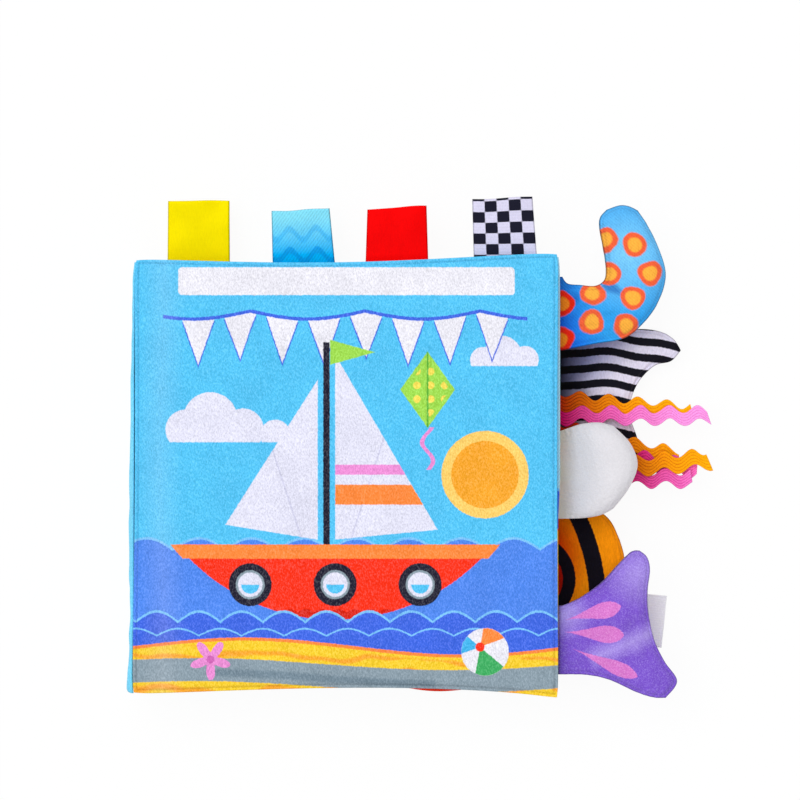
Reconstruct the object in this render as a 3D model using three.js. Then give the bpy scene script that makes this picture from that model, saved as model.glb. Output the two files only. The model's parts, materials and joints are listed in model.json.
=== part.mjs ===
// Crinkle cloth book: a soft book of two covers and four leaves, with ribbon tabs along its head and
// stuffed animal tails sewn into its fore edge. It lies closed on its back cover.
// Millimetres, +Z up, +X from the spine to the fore edge, +Y from the foot to the head of the page.

import * as THREE from 'three';

// The padded pages
const coverWidth = 169.9;
const coverHeight = 173.5;
const leafWidth = 170.5;
const leafHeight = 172;
const coverThickness = 7;
const leafThickness = 6.4;
const leafCount = 4;
const redLeaf = 3;
const pageGap = 0.5;
const coverClothThickness = 0.9;
const leafClothThickness = 0.7;
const filmThickness = 0.3;
const layerGap = 0.3;
const cornerRadius = 2.2;
const cornerSharpness = 20;
const foreHeadRise = 3.4;
const headRisePower = 1.8;
const spineHeadRise = 1;
const spineHeadPower = 6;
const foreFootDrop = 2;
const footDropPower = 12;
const coverSpineOut = 0.4;
const coverFootKick = 1;
const leafFootKick = 2.2;
const headDraw = 1.3;
const footDraw = 2.5;
const footDrawLean = 1.15;
const coverSideDraw = 0.5;
const restingFlat = 0.5;

// The foot of the red leaf, which sags out from under the cover
const redLeafSag = 3.6;
const redLeafSagShare = 0.71;
const redLeafSagWidthShare = 0.11;
const redLeafSagFade = 8;

// Broad swells of the wadding on top of the front cover: plane waves
const coverSwells = [
  { height: 0.4, pitch: 62, degrees: 20, turns: 0.1 },
  { height: 0.3, pitch: 48, degrees: 96, turns: 0.4 },
  { height: 0.25, pitch: 37, degrees: 152, turns: 0.75 },
];

// The spine cloth, one strip for each page
const spineThickness = 1;
const spineHeadShort = 2;

// The ribbon tabs on the head
const tabWidth = 25.4;
const tabRibbonThickness = 0.5;
const tabLoopGap = 1.2;
const tabTaper = 1.4;
const tabFoldOffset = 1.2;
const tabCheckAt = 148.4;
const tabCheckLength = 23.4;
const tabRedAt = 104.7;
const tabRedLength = 22;
const tabWaveAt = 66.8;
const tabWaveLength = 22.8;
const tabYellowAt = 23.5;
const tabYellowLength = 25.7;

// The stuffed tails on the fore edge
const tailClothThickness = 0.55;
const hingeGap = 0.9;
const seamGap = 0.3;
const spottedReach = 42;
const spottedSpan = 59.2;
const spottedFoot = 137.4;
const spottedPlump = 13;
const spottedDrop = 4;
const finReach = 50.4;
const finSpan = 51.6;
const finFoot = 95.4;
const finPlump = 7.4;
const finDrop = 3;
const ballReach = 30.4;
const ballSpan = 39.4;
const ballFoot = 69.4;
const ballPlump = 17;
const ballRise = 6.4;
const bandedReach = 27;
const bandedSpan = 46.4;
const bandedFoot = 31;
const bandedPlump = 11;
const bandedDrop = 1;
const fishReach = 46.6;
const fishSpan = 59.6;
const fishFoot = -2.6;
const fishPlump = 12;
const fishDrop = 4;

// The rickrack streamers
const orangeWidth = 6.6;
const pinkWidth = 5.4;
const rickrackThickness = 1;
const rickrackWave = 12;
const rickrackSwing = 1.6;
const rickrackGap = 0.3;
const rickrackDrop = 2.5;
const rickrackStepsPerWave = 6;
const rickrackReach = 60.4;
const orange1Foot = 117.5;
const orange1EndFoot = 112.2;
const pink1Foot = 111.4;
const pink1EndFoot = 111.4;
const orange2Foot = 105.4;
const orange2EndFoot = 93.6;
const pink3Foot = 98;
const pink3EndFoot = 89.8;
const orange3Foot = 88.2;
const orange3EndFoot = 93.8;
const pink2Foot = 86;
const pink2EndFoot = 86;

// The care label in the back cover's fore edge
const labelLength = 45;
const labelWidth = 21.2;
const labelThickness = 0.5;
const labelAt = 20.8;
const labelSlip = 4.8;
const labelEndTilt = 2.3;

const coverShares = [0, 0.05, 0.12, 0.2, 0.28, 0.36, 0.44, 0.52, 0.6, 0.68, 0.76, 0.84, 0.91, 0.96, 1];
const backShares = [0, 0.05, 0.14, 0.3, 0.5, 0.7, 0.86, 0.95, 1];
const leafShares = [0, 0.05, 0.16, 0.5, 0.84, 0.95, 1];
const redLeafShares = [0, 0.05, 0.16, 0.35, 0.5, 0.6, 0.71, 0.84, 0.95, 1];
const tailLengthShares = [0, 0.1, 0.24, 0.4, 0.55, 0.7, 0.84, 0.94, 1];
const tailWidthShares = [0, 0.12, 0.32, 0.5, 0.68, 0.88, 1];
const labelShares = [0, 0.5, 1];

// Outline of each tail as shares of its reach and its span, from the root to the tip.
// lower and upper are its two long edges, and tip runs from the end of lower to the end of upper.
const spottedShares = {
  lower: [[0, 0.01], [0.29, 0.05], [0.59, 0.09], [0.77, 0.185], [0.92, 0.33], [1, 0.52], [0.93, 0.71],
    [0.82, 0.87], [0.73, 0.965]],
  upper: [[0, 0.51], [0.05, 0.465], [0.17, 0.455], [0.32, 0.45], [0.41, 0.495], [0.42, 0.59], [0.39, 0.73],
    [0.36, 0.85], [0.37, 0.92], [0.43, 0.97]],
  tip: [[0.73, 0.965], [0.64, 0.995], [0.55, 1], [0.43, 0.97]],
};
const finShares = {
  lower: [[0, 0.12], [0.25, 0.06], [0.5, 0.01], [0.69, 0]],
  upper: [[0, 0.91], [0.22, 0.93], [0.43, 0.965], [0.65, 1], [0.83, 0.98], [0.94, 0.92], [1, 0.83]],
  tip: [[0.69, 0], [0.64, 0.15], [0.58, 0.33], [0.6, 0.46], [0.67, 0.6], [0.79, 0.71], [0.92, 0.745],
    [1, 0.83]],
};
const ballShares = {
  lower: [[0, 0.01], [0.29, 0.02], [0.52, 0.055], [0.68, 0.12]],
  upper: [[0, 0.915], [0.26, 0.985], [0.5, 1], [0.68, 0.965]],
  tip: [[0.68, 0.12], [0.89, 0.335], [1, 0.57], [0.9, 0.79], [0.68, 0.965]],
};
const bandedShares = {
  lower: [[0, 0], [0.22, 0.04], [0.56, 0.03], [0.88, 0.09]],
  upper: [[0, 0.982], [0.32, 0.97], [0.64, 0.885], [0.81, 0.79], [0.93, 0.64]],
  tip: [[0.88, 0.09], [1, 0.3], [1, 0.49], [0.93, 0.64]],
};
const fishShares = {
  lower: [[0, 0.165], [0.21, 0.16], [0.41, 0.125], [0.64, 0.042], [0.79, 0.004], [0.9, 0]],
  upper: [[0, 0.63], [0.15, 0.68], [0.34, 0.785], [0.48, 0.9], [0.6, 0.99], [0.675, 1]],
  tip: [[0.9, 0], [1, 0.115], [0.89, 0.25], [0.8, 0.4], [0.75, 0.59], [0.745, 0.73], [0.765, 0.87],
    [0.74, 0.955], [0.675, 1]],
};

const pi = Math.PI;

// How far a round corner pulls its point in, as a share of its radius
const cornerPullShare = 1 - Math.SQRT1_2;

/** How full a pad is at a share of its width: 0 on the seam, 1 over most of the middle. */
const padSquareness = 4;
const fullness = (share) => Math.sqrt(1 - Math.abs(2 * share - 1) ** padSquareness);

/** How full a tail is along its length: slow at the root, full past the middle, round at the tip. */
const peakShare = 0.6;
const rootEase = 1.4;
const tipRoundness = 2.4;
function tailFullness(share) {
  if (share < peakShare) return Math.sin((pi / 2) * (share / peakShare) ** rootEase);
  return Math.sqrt(1 - ((share - peakShare) / (1 - peakShare)) ** tipRoundness);
}

/** How full a tail is across its width, round like a sausage. */
const tailRound = (share) => Math.sqrt(1 - (2 * share - 1) ** 2);

/** A bow that is 0 at both ends of an edge and 1 at its middle. */
const bow = (share) => Math.sin(pi * share);

/**
 * One closed layer of cloth, wadding or film over a grid of shares. place(a, b) gives the point in plan,
 * and low(a, b) and high(a, b) its two faces. Both faces are cut along the same diagonals, so layers that
 * share a grid keep one gap everywhere.
 */
function layer(alongShares, acrossShares, place, low, high) {
  const columns = alongShares.length;
  const rows = acrossShares.length;
  const positions = [];
  for (const face of [low, high]) {
    for (const b of acrossShares) {
      for (const a of alongShares) positions.push(...place(a, b), face(a, b));
    }
  }
  const index = [];
  const at = (side, i, j) => (side * rows + j) * columns + i;
  const quad = (p, q, r, s) => index.push(p, q, r, p, r, s);
  for (let j = 0; j < rows - 1; j += 1) {
    for (let i = 0; i < columns - 1; i += 1) {
      quad(at(0, i, j), at(0, i, j + 1), at(0, i + 1, j + 1), at(0, i + 1, j));
      quad(at(1, i, j), at(1, i + 1, j), at(1, i + 1, j + 1), at(1, i, j + 1));
    }
  }
  for (let i = 0; i < columns - 1; i += 1) {
    quad(at(0, i, 0), at(0, i + 1, 0), at(1, i + 1, 0), at(1, i, 0));
    quad(at(0, i + 1, rows - 1), at(0, i, rows - 1), at(1, i, rows - 1), at(1, i + 1, rows - 1));
  }
  const last = columns - 1;
  for (let j = 0; j < rows - 1; j += 1) {
    quad(at(0, last, j), at(0, last, j + 1), at(1, last, j + 1), at(1, last, j));
    quad(at(0, 0, j + 1), at(0, 0, j), at(1, 0, j), at(1, 0, j + 1));
  }
  const geometry = new THREE.BufferGeometry();
  geometry.setAttribute('position', new THREE.Float32BufferAttribute(positions, 3));
  geometry.setIndex(index);
  geometry.computeVertexNormals();
  return geometry;
}

const book = new THREE.Group();

/** Adds one named piece to the book, at a height and a place in plan. */
function piece(name, geometry, look, x, y, z) {
  const mesh = new THREE.Mesh(geometry, new THREE.MeshStandardMaterial(look));
  mesh.name = name;
  mesh.position.set(x, y, z);
  book.add(mesh);
}

const looks = {
  coverPrint: { color: '#5cc8f5', roughness: 0.9, metalness: 0 },
  plainBlue: { color: '#8ed3f2', roughness: 0.9, metalness: 0 },
  leafCloth: { color: '#f5c64a', roughness: 0.9, metalness: 0 },
  redCloth: { color: '#e8402c', roughness: 0.9, metalness: 0 },
  wadding: { color: '#f4f4f0', roughness: 1, metalness: 0 },
  film: { color: '#dfe6ea', roughness: 0.25, metalness: 0 },
  ribbonCheck: { color: '#4a4a55', roughness: 0.5, metalness: 0 },
  ribbonRed: { color: '#e01818', roughness: 0.4, metalness: 0 },
  ribbonWave: { color: '#55bfe8', roughness: 0.5, metalness: 0 },
  ribbonYellow: { color: '#f0dc10', roughness: 0.4, metalness: 0 },
  spotted: { color: '#3aa5f5', roughness: 0.8, metalness: 0 },
  striped: { color: '#77777f', roughness: 0.8, metalness: 0 },
  plush: { color: '#ececf0', roughness: 1, metalness: 0 },
  banded: { color: '#ee7f11', roughness: 0.8, metalness: 0 },
  fish: { color: '#7a55c8', roughness: 0.8, metalness: 0 },
  fill: { color: '#fafafa', roughness: 1, metalness: 0 },
  orangeTrim: { color: '#f59a0e', roughness: 0.7, metalness: 0 },
  pinkTrim: { color: '#ee77d2', roughness: 0.7, metalness: 0 },
  label: { color: '#f7f7fa', roughness: 0.8, metalness: 0 },
};

// Heights of the middles of the pages, from the back cover up
const backMiddle = coverThickness / 2 - restingFlat;
const firstStep = (coverThickness + leafThickness) / 2 + pageGap;
const leafStep = leafThickness + pageGap;
const leafMiddle = (number) => backMiddle + firstStep + (leafCount - number) * leafStep;
const frontMiddle = leafMiddle(1) + firstStep;

/**
 * The plan of a page. Its corners are rounded a little, its sides draw in between the corners where the
 * padding pulls them, and the fore edge is a little taller than the spine, as a sewn page comes out. The
 * foot of the spine kicks out, and a cover starts a little further out than the leaves.
 */
function pagePlan({ width, height, sideDraw, spineOut, footKick }) {
  return (a, b) => {
    const up = 2 * b - 1;
    const out = 2 * a - 1;
    const cornerPull = cornerRadius * cornerPullShare * Math.abs(up * out) ** cornerSharpness;
    const kick = footKick * (1 - b) * (1 - a);
    const draw = sideDraw * bow(b) * -out;
    const headRise = foreHeadRise * a ** headRisePower + spineHeadRise * (1 - a) ** spineHeadPower;
    const rise = b * headRise - (1 - b) * foreFootDrop * a ** footDropPower;
    const pinch = (1 - b) * footDraw * bow(a ** footDrawLean) - b * headDraw * bow(a) ** 2;
    const x = a * width - spineOut - kick + draw - Math.sign(out) * cornerPull;
    const y = b * height + rise + pinch - Math.sign(up) * cornerPull;
    return [x, y];
  };
}

/** The plan of the red leaf: its foot sags in one place. */
function sagging(plan) {
  return (a, b) => {
    const [x, y] = plan(a, b);
    const off = (a - redLeafSagShare) / redLeafSagWidthShare;
    return [x, y - redLeafSag * Math.exp(-(off ** 2)) * (1 - b) ** redLeafSagFade];
  };
}

/** How far the wadding lifts the front cover at a point in plan. */
function swell(x, y) {
  const waves = coverSwells.map(({ height, pitch, degrees, turns }) => {
    const travel = x * Math.cos((degrees * pi) / 180) + y * Math.sin((degrees * pi) / 180);
    return height * Math.sin(2 * pi * (travel / pitch + turns));
  });
  return waves.reduce((sum, wave) => sum + wave, 0);
}

/** Half the thickness of a pad, from its own cloth on the seam to its crown. */
function padHalf(thickness, cloth) {
  const seam = cloth + layerGap / 2;
  return (a, b) => seam + (thickness / 2 - seam) * fullness(a) * fullness(b);
}

/** A page: upper cloth, wadding, crinkle film and lower cloth, sewn together round the edge. */
function page(name, plan, height, thickness, cloth, shares, middle, sides) {
  const half = padHalf(thickness, cloth);
  const inside = shares.slice(1, -1);
  const deepest = (a, b) => -Math.min(half(a, b), sides.rests ? middle : thickness);
  const lowInside = (a, b) => deepest(a, b) + cloth + layerGap;
  const overFilm = (a, b) => lowInside(a, b) + filmThickness + layerGap;
  const swellShare = sides.swells ? 1 : 0;
  const crown = (a, b) => half(a, b) + swellShare * swell(...plan(a, b)) * fullness(a) * fullness(b);
  const highInside = (a, b) => crown(a, b) - cloth - layerGap;
  const x = 0;
  const y = (coverHeight - height) / 2;
  const upper = layer(shares, shares, plan, (a, b) => crown(a, b) - cloth, crown);
  const wadding = layer(inside, inside, plan, overFilm, highInside);
  const film = layer(inside, inside, plan, lowInside, (a, b) => lowInside(a, b) + filmThickness);
  const lower = layer(shares, shares, plan, deepest, (a, b) => deepest(a, b) + cloth);
  piece(`${name}_${sides.upperName}`, upper, sides.upperLook, x, y, middle);
  piece(`${name}_wadding`, wadding, looks.wadding, x, y, middle);
  piece(`${name}_crinkle_film`, film, looks.film, x, y, middle);
  piece(`${name}_${sides.lowerName}`, lower, sides.lowerLook, x, y, middle);
}

/** The strip of spine cloth behind one page. It follows the page's spine edge. */
function spineStrip(name, plan, height, thickness, middle) {
  const shortShare = spineHeadShort / height;
  const outside = (a, b) => {
    const [x, y] = plan(0, shortShare + b * (1 - 2 * shortShare));
    return [x - layerGap - (1 - a) * spineThickness, y];
  };
  const half = thickness / 2;
  const strip = layer([0, 1], leafShares, outside, () => -half, () => half);
  piece(`${name}_spine_strip`, strip, looks.plainBlue, 0, (coverHeight - height) / 2, middle);
}

const coverSides = {
  upperName: 'print_cloth',
  upperLook: looks.coverPrint,
  lowerName: 'lining_cloth',
  lowerLook: looks.leafCloth,
  swells: true,
};
const backSides = {
  upperName: 'lining_cloth',
  upperLook: looks.leafCloth,
  lowerName: 'outer_cloth',
  lowerLook: looks.plainBlue,
  rests: true,
};
const coverPlan = pagePlan({
  width: coverWidth, height: coverHeight, sideDraw: coverSideDraw, spineOut: coverSpineOut,
  footKick: coverFootKick,
});
const leafPlan = pagePlan({
  width: leafWidth, height: leafHeight, sideDraw: 0, spineOut: 0, footKick: leafFootKick,
});
page('front_cover', coverPlan, coverHeight, coverThickness, coverClothThickness, coverShares, frontMiddle,
  coverSides);
page('back_cover', coverPlan, coverHeight, coverThickness, coverClothThickness, backShares, backMiddle,
  backSides);
spineStrip('front_cover', coverPlan, coverHeight, coverThickness, frontMiddle);
spineStrip('back_cover', coverPlan, coverHeight, 2 * backMiddle, backMiddle);
for (let number = 1; number <= leafCount; number += 1) {
  const sides = {
    upperName: 'front_cloth',
    upperLook: number === redLeaf ? looks.redCloth : looks.leafCloth,
    lowerName: 'back_cloth',
    lowerLook: looks.plainBlue,
  };
  const [plan, shares] = number === redLeaf ? [sagging(leafPlan), redLeafShares] : [leafPlan, leafShares];
  page(`leaf_${number}`, plan, leafHeight, leafThickness, leafClothThickness, shares,
    leafMiddle(number), sides);
  spineStrip(`leaf_${number}`, leafPlan, leafHeight, leafThickness, leafMiddle(number));
}

// Where the tabs and tails meet a leaf
const leafFoot = (coverHeight - leafHeight) / 2;
const foreEdge = leafWidth;
const headAt = (distance) => leafPlan(distance / leafWidth, 1)[1] + leafFoot;

/**
 * A ribbon tab: one ribbon folded in half and sewn into the head of a leaf, so its section is a flat loop
 * that is open at the seam. It narrows a little towards the fold.
 */
function tab(name, number, middle, length, look, offset) {
  const outer = tabRibbonThickness + tabLoopGap / 2;
  const inner = tabLoopGap / 2;
  const section = new THREE.Shape();
  section.moveTo(0, -outer);
  section.lineTo(length - outer, -outer);
  section.absarc(length - outer, 0, outer, -pi / 2, pi / 2, false);
  section.lineTo(0, outer);
  section.lineTo(0, inner);
  section.lineTo(length - outer, inner);
  section.absarc(length - outer, 0, inner, pi / 2, -pi / 2, true);
  section.lineTo(0, -inner);
  section.closePath();
  const extrusion = { depth: tabWidth, bevelEnabled: false, curveSegments: 4 };
  const geometry = new THREE.ExtrudeGeometry(section, extrusion);
  geometry.translate(0, 0, -tabWidth / 2);
  geometry.applyMatrix4(new THREE.Matrix4().set(0, 0, 1, 0, 1, 0, 0, 0, 0, 1, 0, 0, 0, 0, 0, 1));
  const points = geometry.attributes.position;
  for (let i = 0; i < points.count; i += 1) {
    const share = points.getY(i) / length;
    const narrowed = points.getX(i) * (1 - (share * tabTaper) / tabWidth) - share * offset;
    points.setX(i, narrowed);
  }
  geometry.computeVertexNormals();
  const across = [middle - tabWidth / 2, middle, middle + tabWidth / 2];
  const y = Math.max(...across.map(headAt)) + seamGap;
  piece(name, geometry, look, middle, y, leafMiddle(number));
}

tab('ribbon_tab_check', 1, tabCheckAt, tabCheckLength, looks.ribbonCheck, tabFoldOffset);
tab('ribbon_tab_red', 2, tabRedAt, tabRedLength, looks.ribbonRed, 0);
tab('ribbon_tab_wave', 3, tabWaveAt, tabWaveLength, looks.ribbonWave, tabFoldOffset);
tab('ribbon_tab_yellow', 4, tabYellowAt, tabYellowLength, looks.ribbonYellow, 0);

/** The plan of a tail as a patch between its four edges, each a smooth curve through its shares. */
function tailPlan(shares, reach, span) {
  const sized = (points) => points.map(([x, y]) => new THREE.Vector2(x * reach, y * span));
  const curve = (points) => new THREE.SplineCurve(sized(points));
  const lower = curve(shares.lower);
  const upper = curve(shares.upper);
  const tip = curve(shares.tip);
  const root = new THREE.LineCurve(lower.getPoint(0), upper.getPoint(0));
  const [p, q, r, s] = [lower.getPoint(0), lower.getPoint(1), upper.getPoint(0), upper.getPoint(1)];
  return (a, b) => {
    const edges = lower.getPointAt(a).multiplyScalar(1 - b).addScaledVector(upper.getPointAt(a), b)
      .addScaledVector(root.getPointAt(b), 1 - a).addScaledVector(tip.getPointAt(b), a);
    edges.addScaledVector(p, -(1 - a) * (1 - b)).addScaledVector(q, -a * (1 - b));
    edges.addScaledVector(r, -(1 - a) * b).addScaledVector(s, -a * b);
    return [edges.x, edges.y];
  };
}

/** A stuffed tail: front cloth, fill and back cloth, sewn round the edge and into a leaf's fore edge. */
function tail(name, number, gap, shares, size, look) {
  const plan = tailPlan(shares, size.reach, size.span);
  const seam = tailClothThickness + layerGap / 2;
  const half = (a, b) => seam + (size.plump / 2 - seam) * tailFullness(a) * tailRound(b);
  const lift = (a) => size.lift * Math.sin((pi / 2) * a);
  const add = (part, lengths, widths, low, high, partLook) => {
    const raised = (face) => (a, b) => lift(a) + face(a, b);
    const solid = layer(lengths, widths, plan, raised(low), raised(high));
    piece(`${name}_${part}`, solid, partLook, foreEdge + gap, size.foot, leafMiddle(number));
  };
  const under = (a, b) => half(a, b) - tailClothThickness;
  const fill = (a, b) => under(a, b) - layerGap;
  add('front_cloth', tailLengthShares, tailWidthShares, under, half, look);
  add('back_cloth', tailLengthShares, tailWidthShares, (a, b) => -half(a, b), (a, b) => -under(a, b), look);
  add('fill', tailLengthShares.slice(2, -1), tailWidthShares.slice(1, -1), (a, b) => -fill(a, b), fill,
    looks.fill);
}

tail('spotted_tail', 1, hingeGap, spottedShares,
  { reach: spottedReach, span: spottedSpan, foot: spottedFoot, plump: spottedPlump, lift: -spottedDrop },
  looks.spotted);
tail('fish_tail', 1, hingeGap, fishShares,
  { reach: fishReach, span: fishSpan, foot: fishFoot, plump: fishPlump, lift: -fishDrop }, looks.fish);
tail('ball_tail', 2, hingeGap, ballShares,
  { reach: ballReach, span: ballSpan, foot: ballFoot, plump: ballPlump, lift: ballRise }, looks.plush);
tail('striped_fin', 4, seamGap, finShares,
  { reach: finReach, span: finSpan, foot: finFoot, plump: finPlump, lift: -finDrop }, looks.striped);
tail('banded_tail', 4, seamGap, bandedShares,
  { reach: bandedReach, span: bandedSpan, foot: bandedFoot, plump: bandedPlump, lift: -bandedDrop },
  looks.banded);

// Rickrack: how far each streamer reaches, where its wave starts, its place at the seam and at its end,
// and its layer in the stack of trims
const endShares = {
  rickrack_orange_1: 0.89,
  rickrack_pink_1: 1,
  rickrack_orange_2: 0.8,
  rickrack_pink_3: 0.92,
  rickrack_orange_3: 1,
  rickrack_pink_2: 0.88,
};
const streamers = [
  { name: 'rickrack_orange_1', turns: 0.46, from: orange1Foot, to: orange1EndFoot, stack: 0 },
  { name: 'rickrack_pink_1', turns: 0.51, from: pink1Foot, to: pink1EndFoot, stack: 1 },
  { name: 'rickrack_orange_2', turns: 0.35, from: orange2Foot, to: orange2EndFoot, stack: 0 },
  { name: 'rickrack_pink_3', turns: 0.67, from: pink3Foot, to: pink3EndFoot, stack: 1 },
  { name: 'rickrack_orange_3', turns: 0.3, from: orange3Foot, to: orange3EndFoot, stack: 3 },
  { name: 'rickrack_pink_2', turns: 0.385, from: pink2Foot, to: pink2EndFoot, stack: 2 },
];
const stackMiddle = Math.max(...streamers.map(({ stack }) => stack)) / 2;

/** A streamer of rickrack: a flat braid that swings from side to side as it runs out from the seam. */
function streamer({ name, turns, from, to, stack }) {
  const ends = endShares[name];
  const length = ends * rickrackReach;
  const waves = length / rickrackWave;
  const steps = Math.round(waves * rickrackStepsPerWave);
  const shares = Array.from({ length: steps + 1 }, (_, i) => i / steps);
  const orange = name.includes('orange');
  const width = orange ? orangeWidth : pinkWidth;
  const plan = (a, b) => {
    const swing = rickrackSwing * Math.sin(2 * pi * (waves * a - turns));
    return [a * length, from + a * (to - from) + swing + (b - 1 / 2) * width];
  };
  const base = (stack - stackMiddle) * (rickrackThickness + rickrackGap);
  const droop = (a) => -rickrackDrop * (ends * a) ** 2;
  const low = (a) => base + droop(a) - rickrackThickness / 2;
  const high = (a) => base + droop(a) + rickrackThickness / 2;
  const look = orange ? looks.orangeTrim : looks.pinkTrim;
  piece(name, layer(shares, [0, 1], plan, low, high), look, foreEdge + seamGap, 0, leafMiddle(3));
}
streamers.forEach(streamer);

/** The care label: a flat woven strip that leaves the back cover's fore edge a little downhill. */
function careLabel() {
  const corners = [labelAt / coverHeight, (labelAt + labelWidth) / coverHeight];
  const seam = Math.max(...corners.map((share) => coverPlan(1, share)[0]));
  const plan = (a, b) => {
    const tilt = (b - 1 / 2) * labelEndTilt;
    return [a * (labelLength + tilt), labelAt + b * labelWidth - a * labelSlip];
  };
  const half = labelThickness / 2;
  const strip = layer(labelShares, labelShares, plan, () => -half, () => half);
  piece('care_label', strip, looks.label, seam + seamGap, 0, backMiddle);
}
careLabel();

// The origin is the middle of the whole book's footprint, on the surface that it lies on.
book.updateMatrixWorld(true);
const box = new THREE.Box3().setFromObject(book);
const centre = box.getCenter(new THREE.Vector3());
for (const mesh of book.children) mesh.position.sub(new THREE.Vector3(centre.x, centre.y, box.min.z));

export default book;
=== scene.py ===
# %% [markdown]
# # A crinkle cloth book, dressed in Blender
#
# The book is two padded covers and four padded leaves. Stuffed tails and rickrack streamers are sewn into
# its fore edge, and loops of ribbon into its head. Another program has already made every piece at its real
# size. This script loads those pieces as a fixed frame, and puts a finely made cloth surface over each one.
# +X runs from the spine to the fore edge, +Y from the foot to the head, and +Z up through the pages.

# %% Load the frame
import functools
import json
import math
import operator

import bpy
import numpy as np
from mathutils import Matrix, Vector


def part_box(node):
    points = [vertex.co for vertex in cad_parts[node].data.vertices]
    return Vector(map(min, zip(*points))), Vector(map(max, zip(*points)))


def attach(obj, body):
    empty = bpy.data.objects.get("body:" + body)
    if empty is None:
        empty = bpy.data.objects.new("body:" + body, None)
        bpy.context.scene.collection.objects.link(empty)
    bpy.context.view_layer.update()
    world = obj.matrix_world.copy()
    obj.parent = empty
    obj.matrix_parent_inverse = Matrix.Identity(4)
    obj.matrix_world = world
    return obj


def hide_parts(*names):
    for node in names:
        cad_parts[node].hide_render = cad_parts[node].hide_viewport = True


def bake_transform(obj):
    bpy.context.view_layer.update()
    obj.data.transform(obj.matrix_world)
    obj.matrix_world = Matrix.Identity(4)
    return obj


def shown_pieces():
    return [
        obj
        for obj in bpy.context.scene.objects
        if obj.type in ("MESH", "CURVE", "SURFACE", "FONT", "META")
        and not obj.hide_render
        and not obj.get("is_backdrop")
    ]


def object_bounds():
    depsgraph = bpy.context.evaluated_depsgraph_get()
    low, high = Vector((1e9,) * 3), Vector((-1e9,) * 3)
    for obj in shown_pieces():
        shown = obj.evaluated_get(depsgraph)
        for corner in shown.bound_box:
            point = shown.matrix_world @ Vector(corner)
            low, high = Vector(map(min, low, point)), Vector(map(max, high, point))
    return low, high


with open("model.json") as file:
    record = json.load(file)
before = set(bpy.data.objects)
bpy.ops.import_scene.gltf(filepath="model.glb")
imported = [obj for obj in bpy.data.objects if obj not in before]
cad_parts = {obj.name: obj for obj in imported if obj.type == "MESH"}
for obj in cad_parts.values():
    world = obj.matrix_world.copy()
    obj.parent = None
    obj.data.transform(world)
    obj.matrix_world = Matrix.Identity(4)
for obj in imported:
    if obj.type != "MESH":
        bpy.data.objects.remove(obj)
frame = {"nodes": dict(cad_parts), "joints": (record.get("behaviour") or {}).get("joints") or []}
cad_low, cad_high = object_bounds()
MM = 0.001
scene = bpy.context.scene
print("pieces in the frame:", len(frame["nodes"]))
print("size in mm:", [round((high - low) / MM, 1) for low, high in zip(cad_low, cad_high)])

# %% [markdown]
# ## Two small helpers for materials
#
# A colour is easiest to choose as an sRGB hex value, but a shader works with linear light, so one function
# turns the first into the second. One more function adds a node: it sets the node's properties, and fills
# its inputs with links or with plain values. Every material below is made with just these two.

# %% Colours and nodes
def srgb(code):
    """Linear red, green, blue and alpha of an sRGB hex colour.

    Each part c is c / 12.92 up to 0.04045, and ((c + 0.055) / 1.055) to the power 2.4 above it.
    """
    parts = np.array([int(code[i:i + 2], 16) for i in (1, 3, 5)]) / 255
    linear = np.where(parts <= 0.04045, parts / 12.92, ((parts + 0.055) / 1.055) ** 2.4)
    return (*linear.tolist(), 1.0)


def node(tree, kind, inputs=(), out=0, **properties):
    """Adds one node and gives back one of its outputs. An input that is a socket is linked, any other value
    is set. Inputs without names are filled from the first one on."""
    made = tree.nodes.new("ShaderNode" + kind)
    for name, value in properties.items():
        setattr(made, name, value)
    for key, value in (inputs if isinstance(inputs, dict) else dict(enumerate(inputs))).items():
        if isinstance(value, bpy.types.NodeSocket):
            tree.links.new(value, made.inputs[key])
        else:
            made.inputs[key].default_value = value
    return made.outputs[out] if len(made.outputs) else None


# %% [markdown]
# ## Printing with arithmetic
#
# The cloths are printed. A print could be an image, but a picture made of formulas stays sharp at any size
# and needs no file. Each shape is a *field*: the distance in millimetres from a point of the cloth to the
# shape's edge, less than zero inside. Fields add, subtract and scale like numbers. Two fields joined with &
# give what lies in both shapes, and with | what lies in either. The class below turns that arithmetic into
# Math nodes, so that a print reads like the sum that it is.

# %% Fields and prints
class Field:
    """A number that changes over the cloth. Arithmetic on it adds Math nodes to its material."""

    def __init__(self, tree, socket):
        self.tree = tree
        self.socket = socket

    def math(self, operation, *others):
        """The field after one Math operation with other fields or numbers."""
        values = [other.socket if isinstance(other, Field) else other for other in (self, *others)]
        return Field(self.tree, node(self.tree, "Math", values, operation=operation))

    __add__ = functools.partialmethod(math, "ADD")
    __sub__ = functools.partialmethod(math, "SUBTRACT")
    __mul__ = functools.partialmethod(math, "MULTIPLY")
    __neg__ = functools.partialmethod(math, "MULTIPLY", -1.0)
    __abs__ = functools.partialmethod(math, "ABSOLUTE")
    __and__ = functools.partialmethod(math, "MAXIMUM")
    __or__ = functools.partialmethod(math, "MINIMUM")

    def dark_band(self, at, width, depth):
        """1 away from a value, and 1 - depth on it, over a width on either side."""
        off = abs(self - at).socket
        return Field(self.tree, node(self.tree, "MapRange", (off, 0.0, width, 1 - depth, 1.0),
                                     interpolation_type="SMOOTHSTEP"))


PILE_SIZE = 1.1
EDGE_SOFTNESS = 0.16


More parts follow.
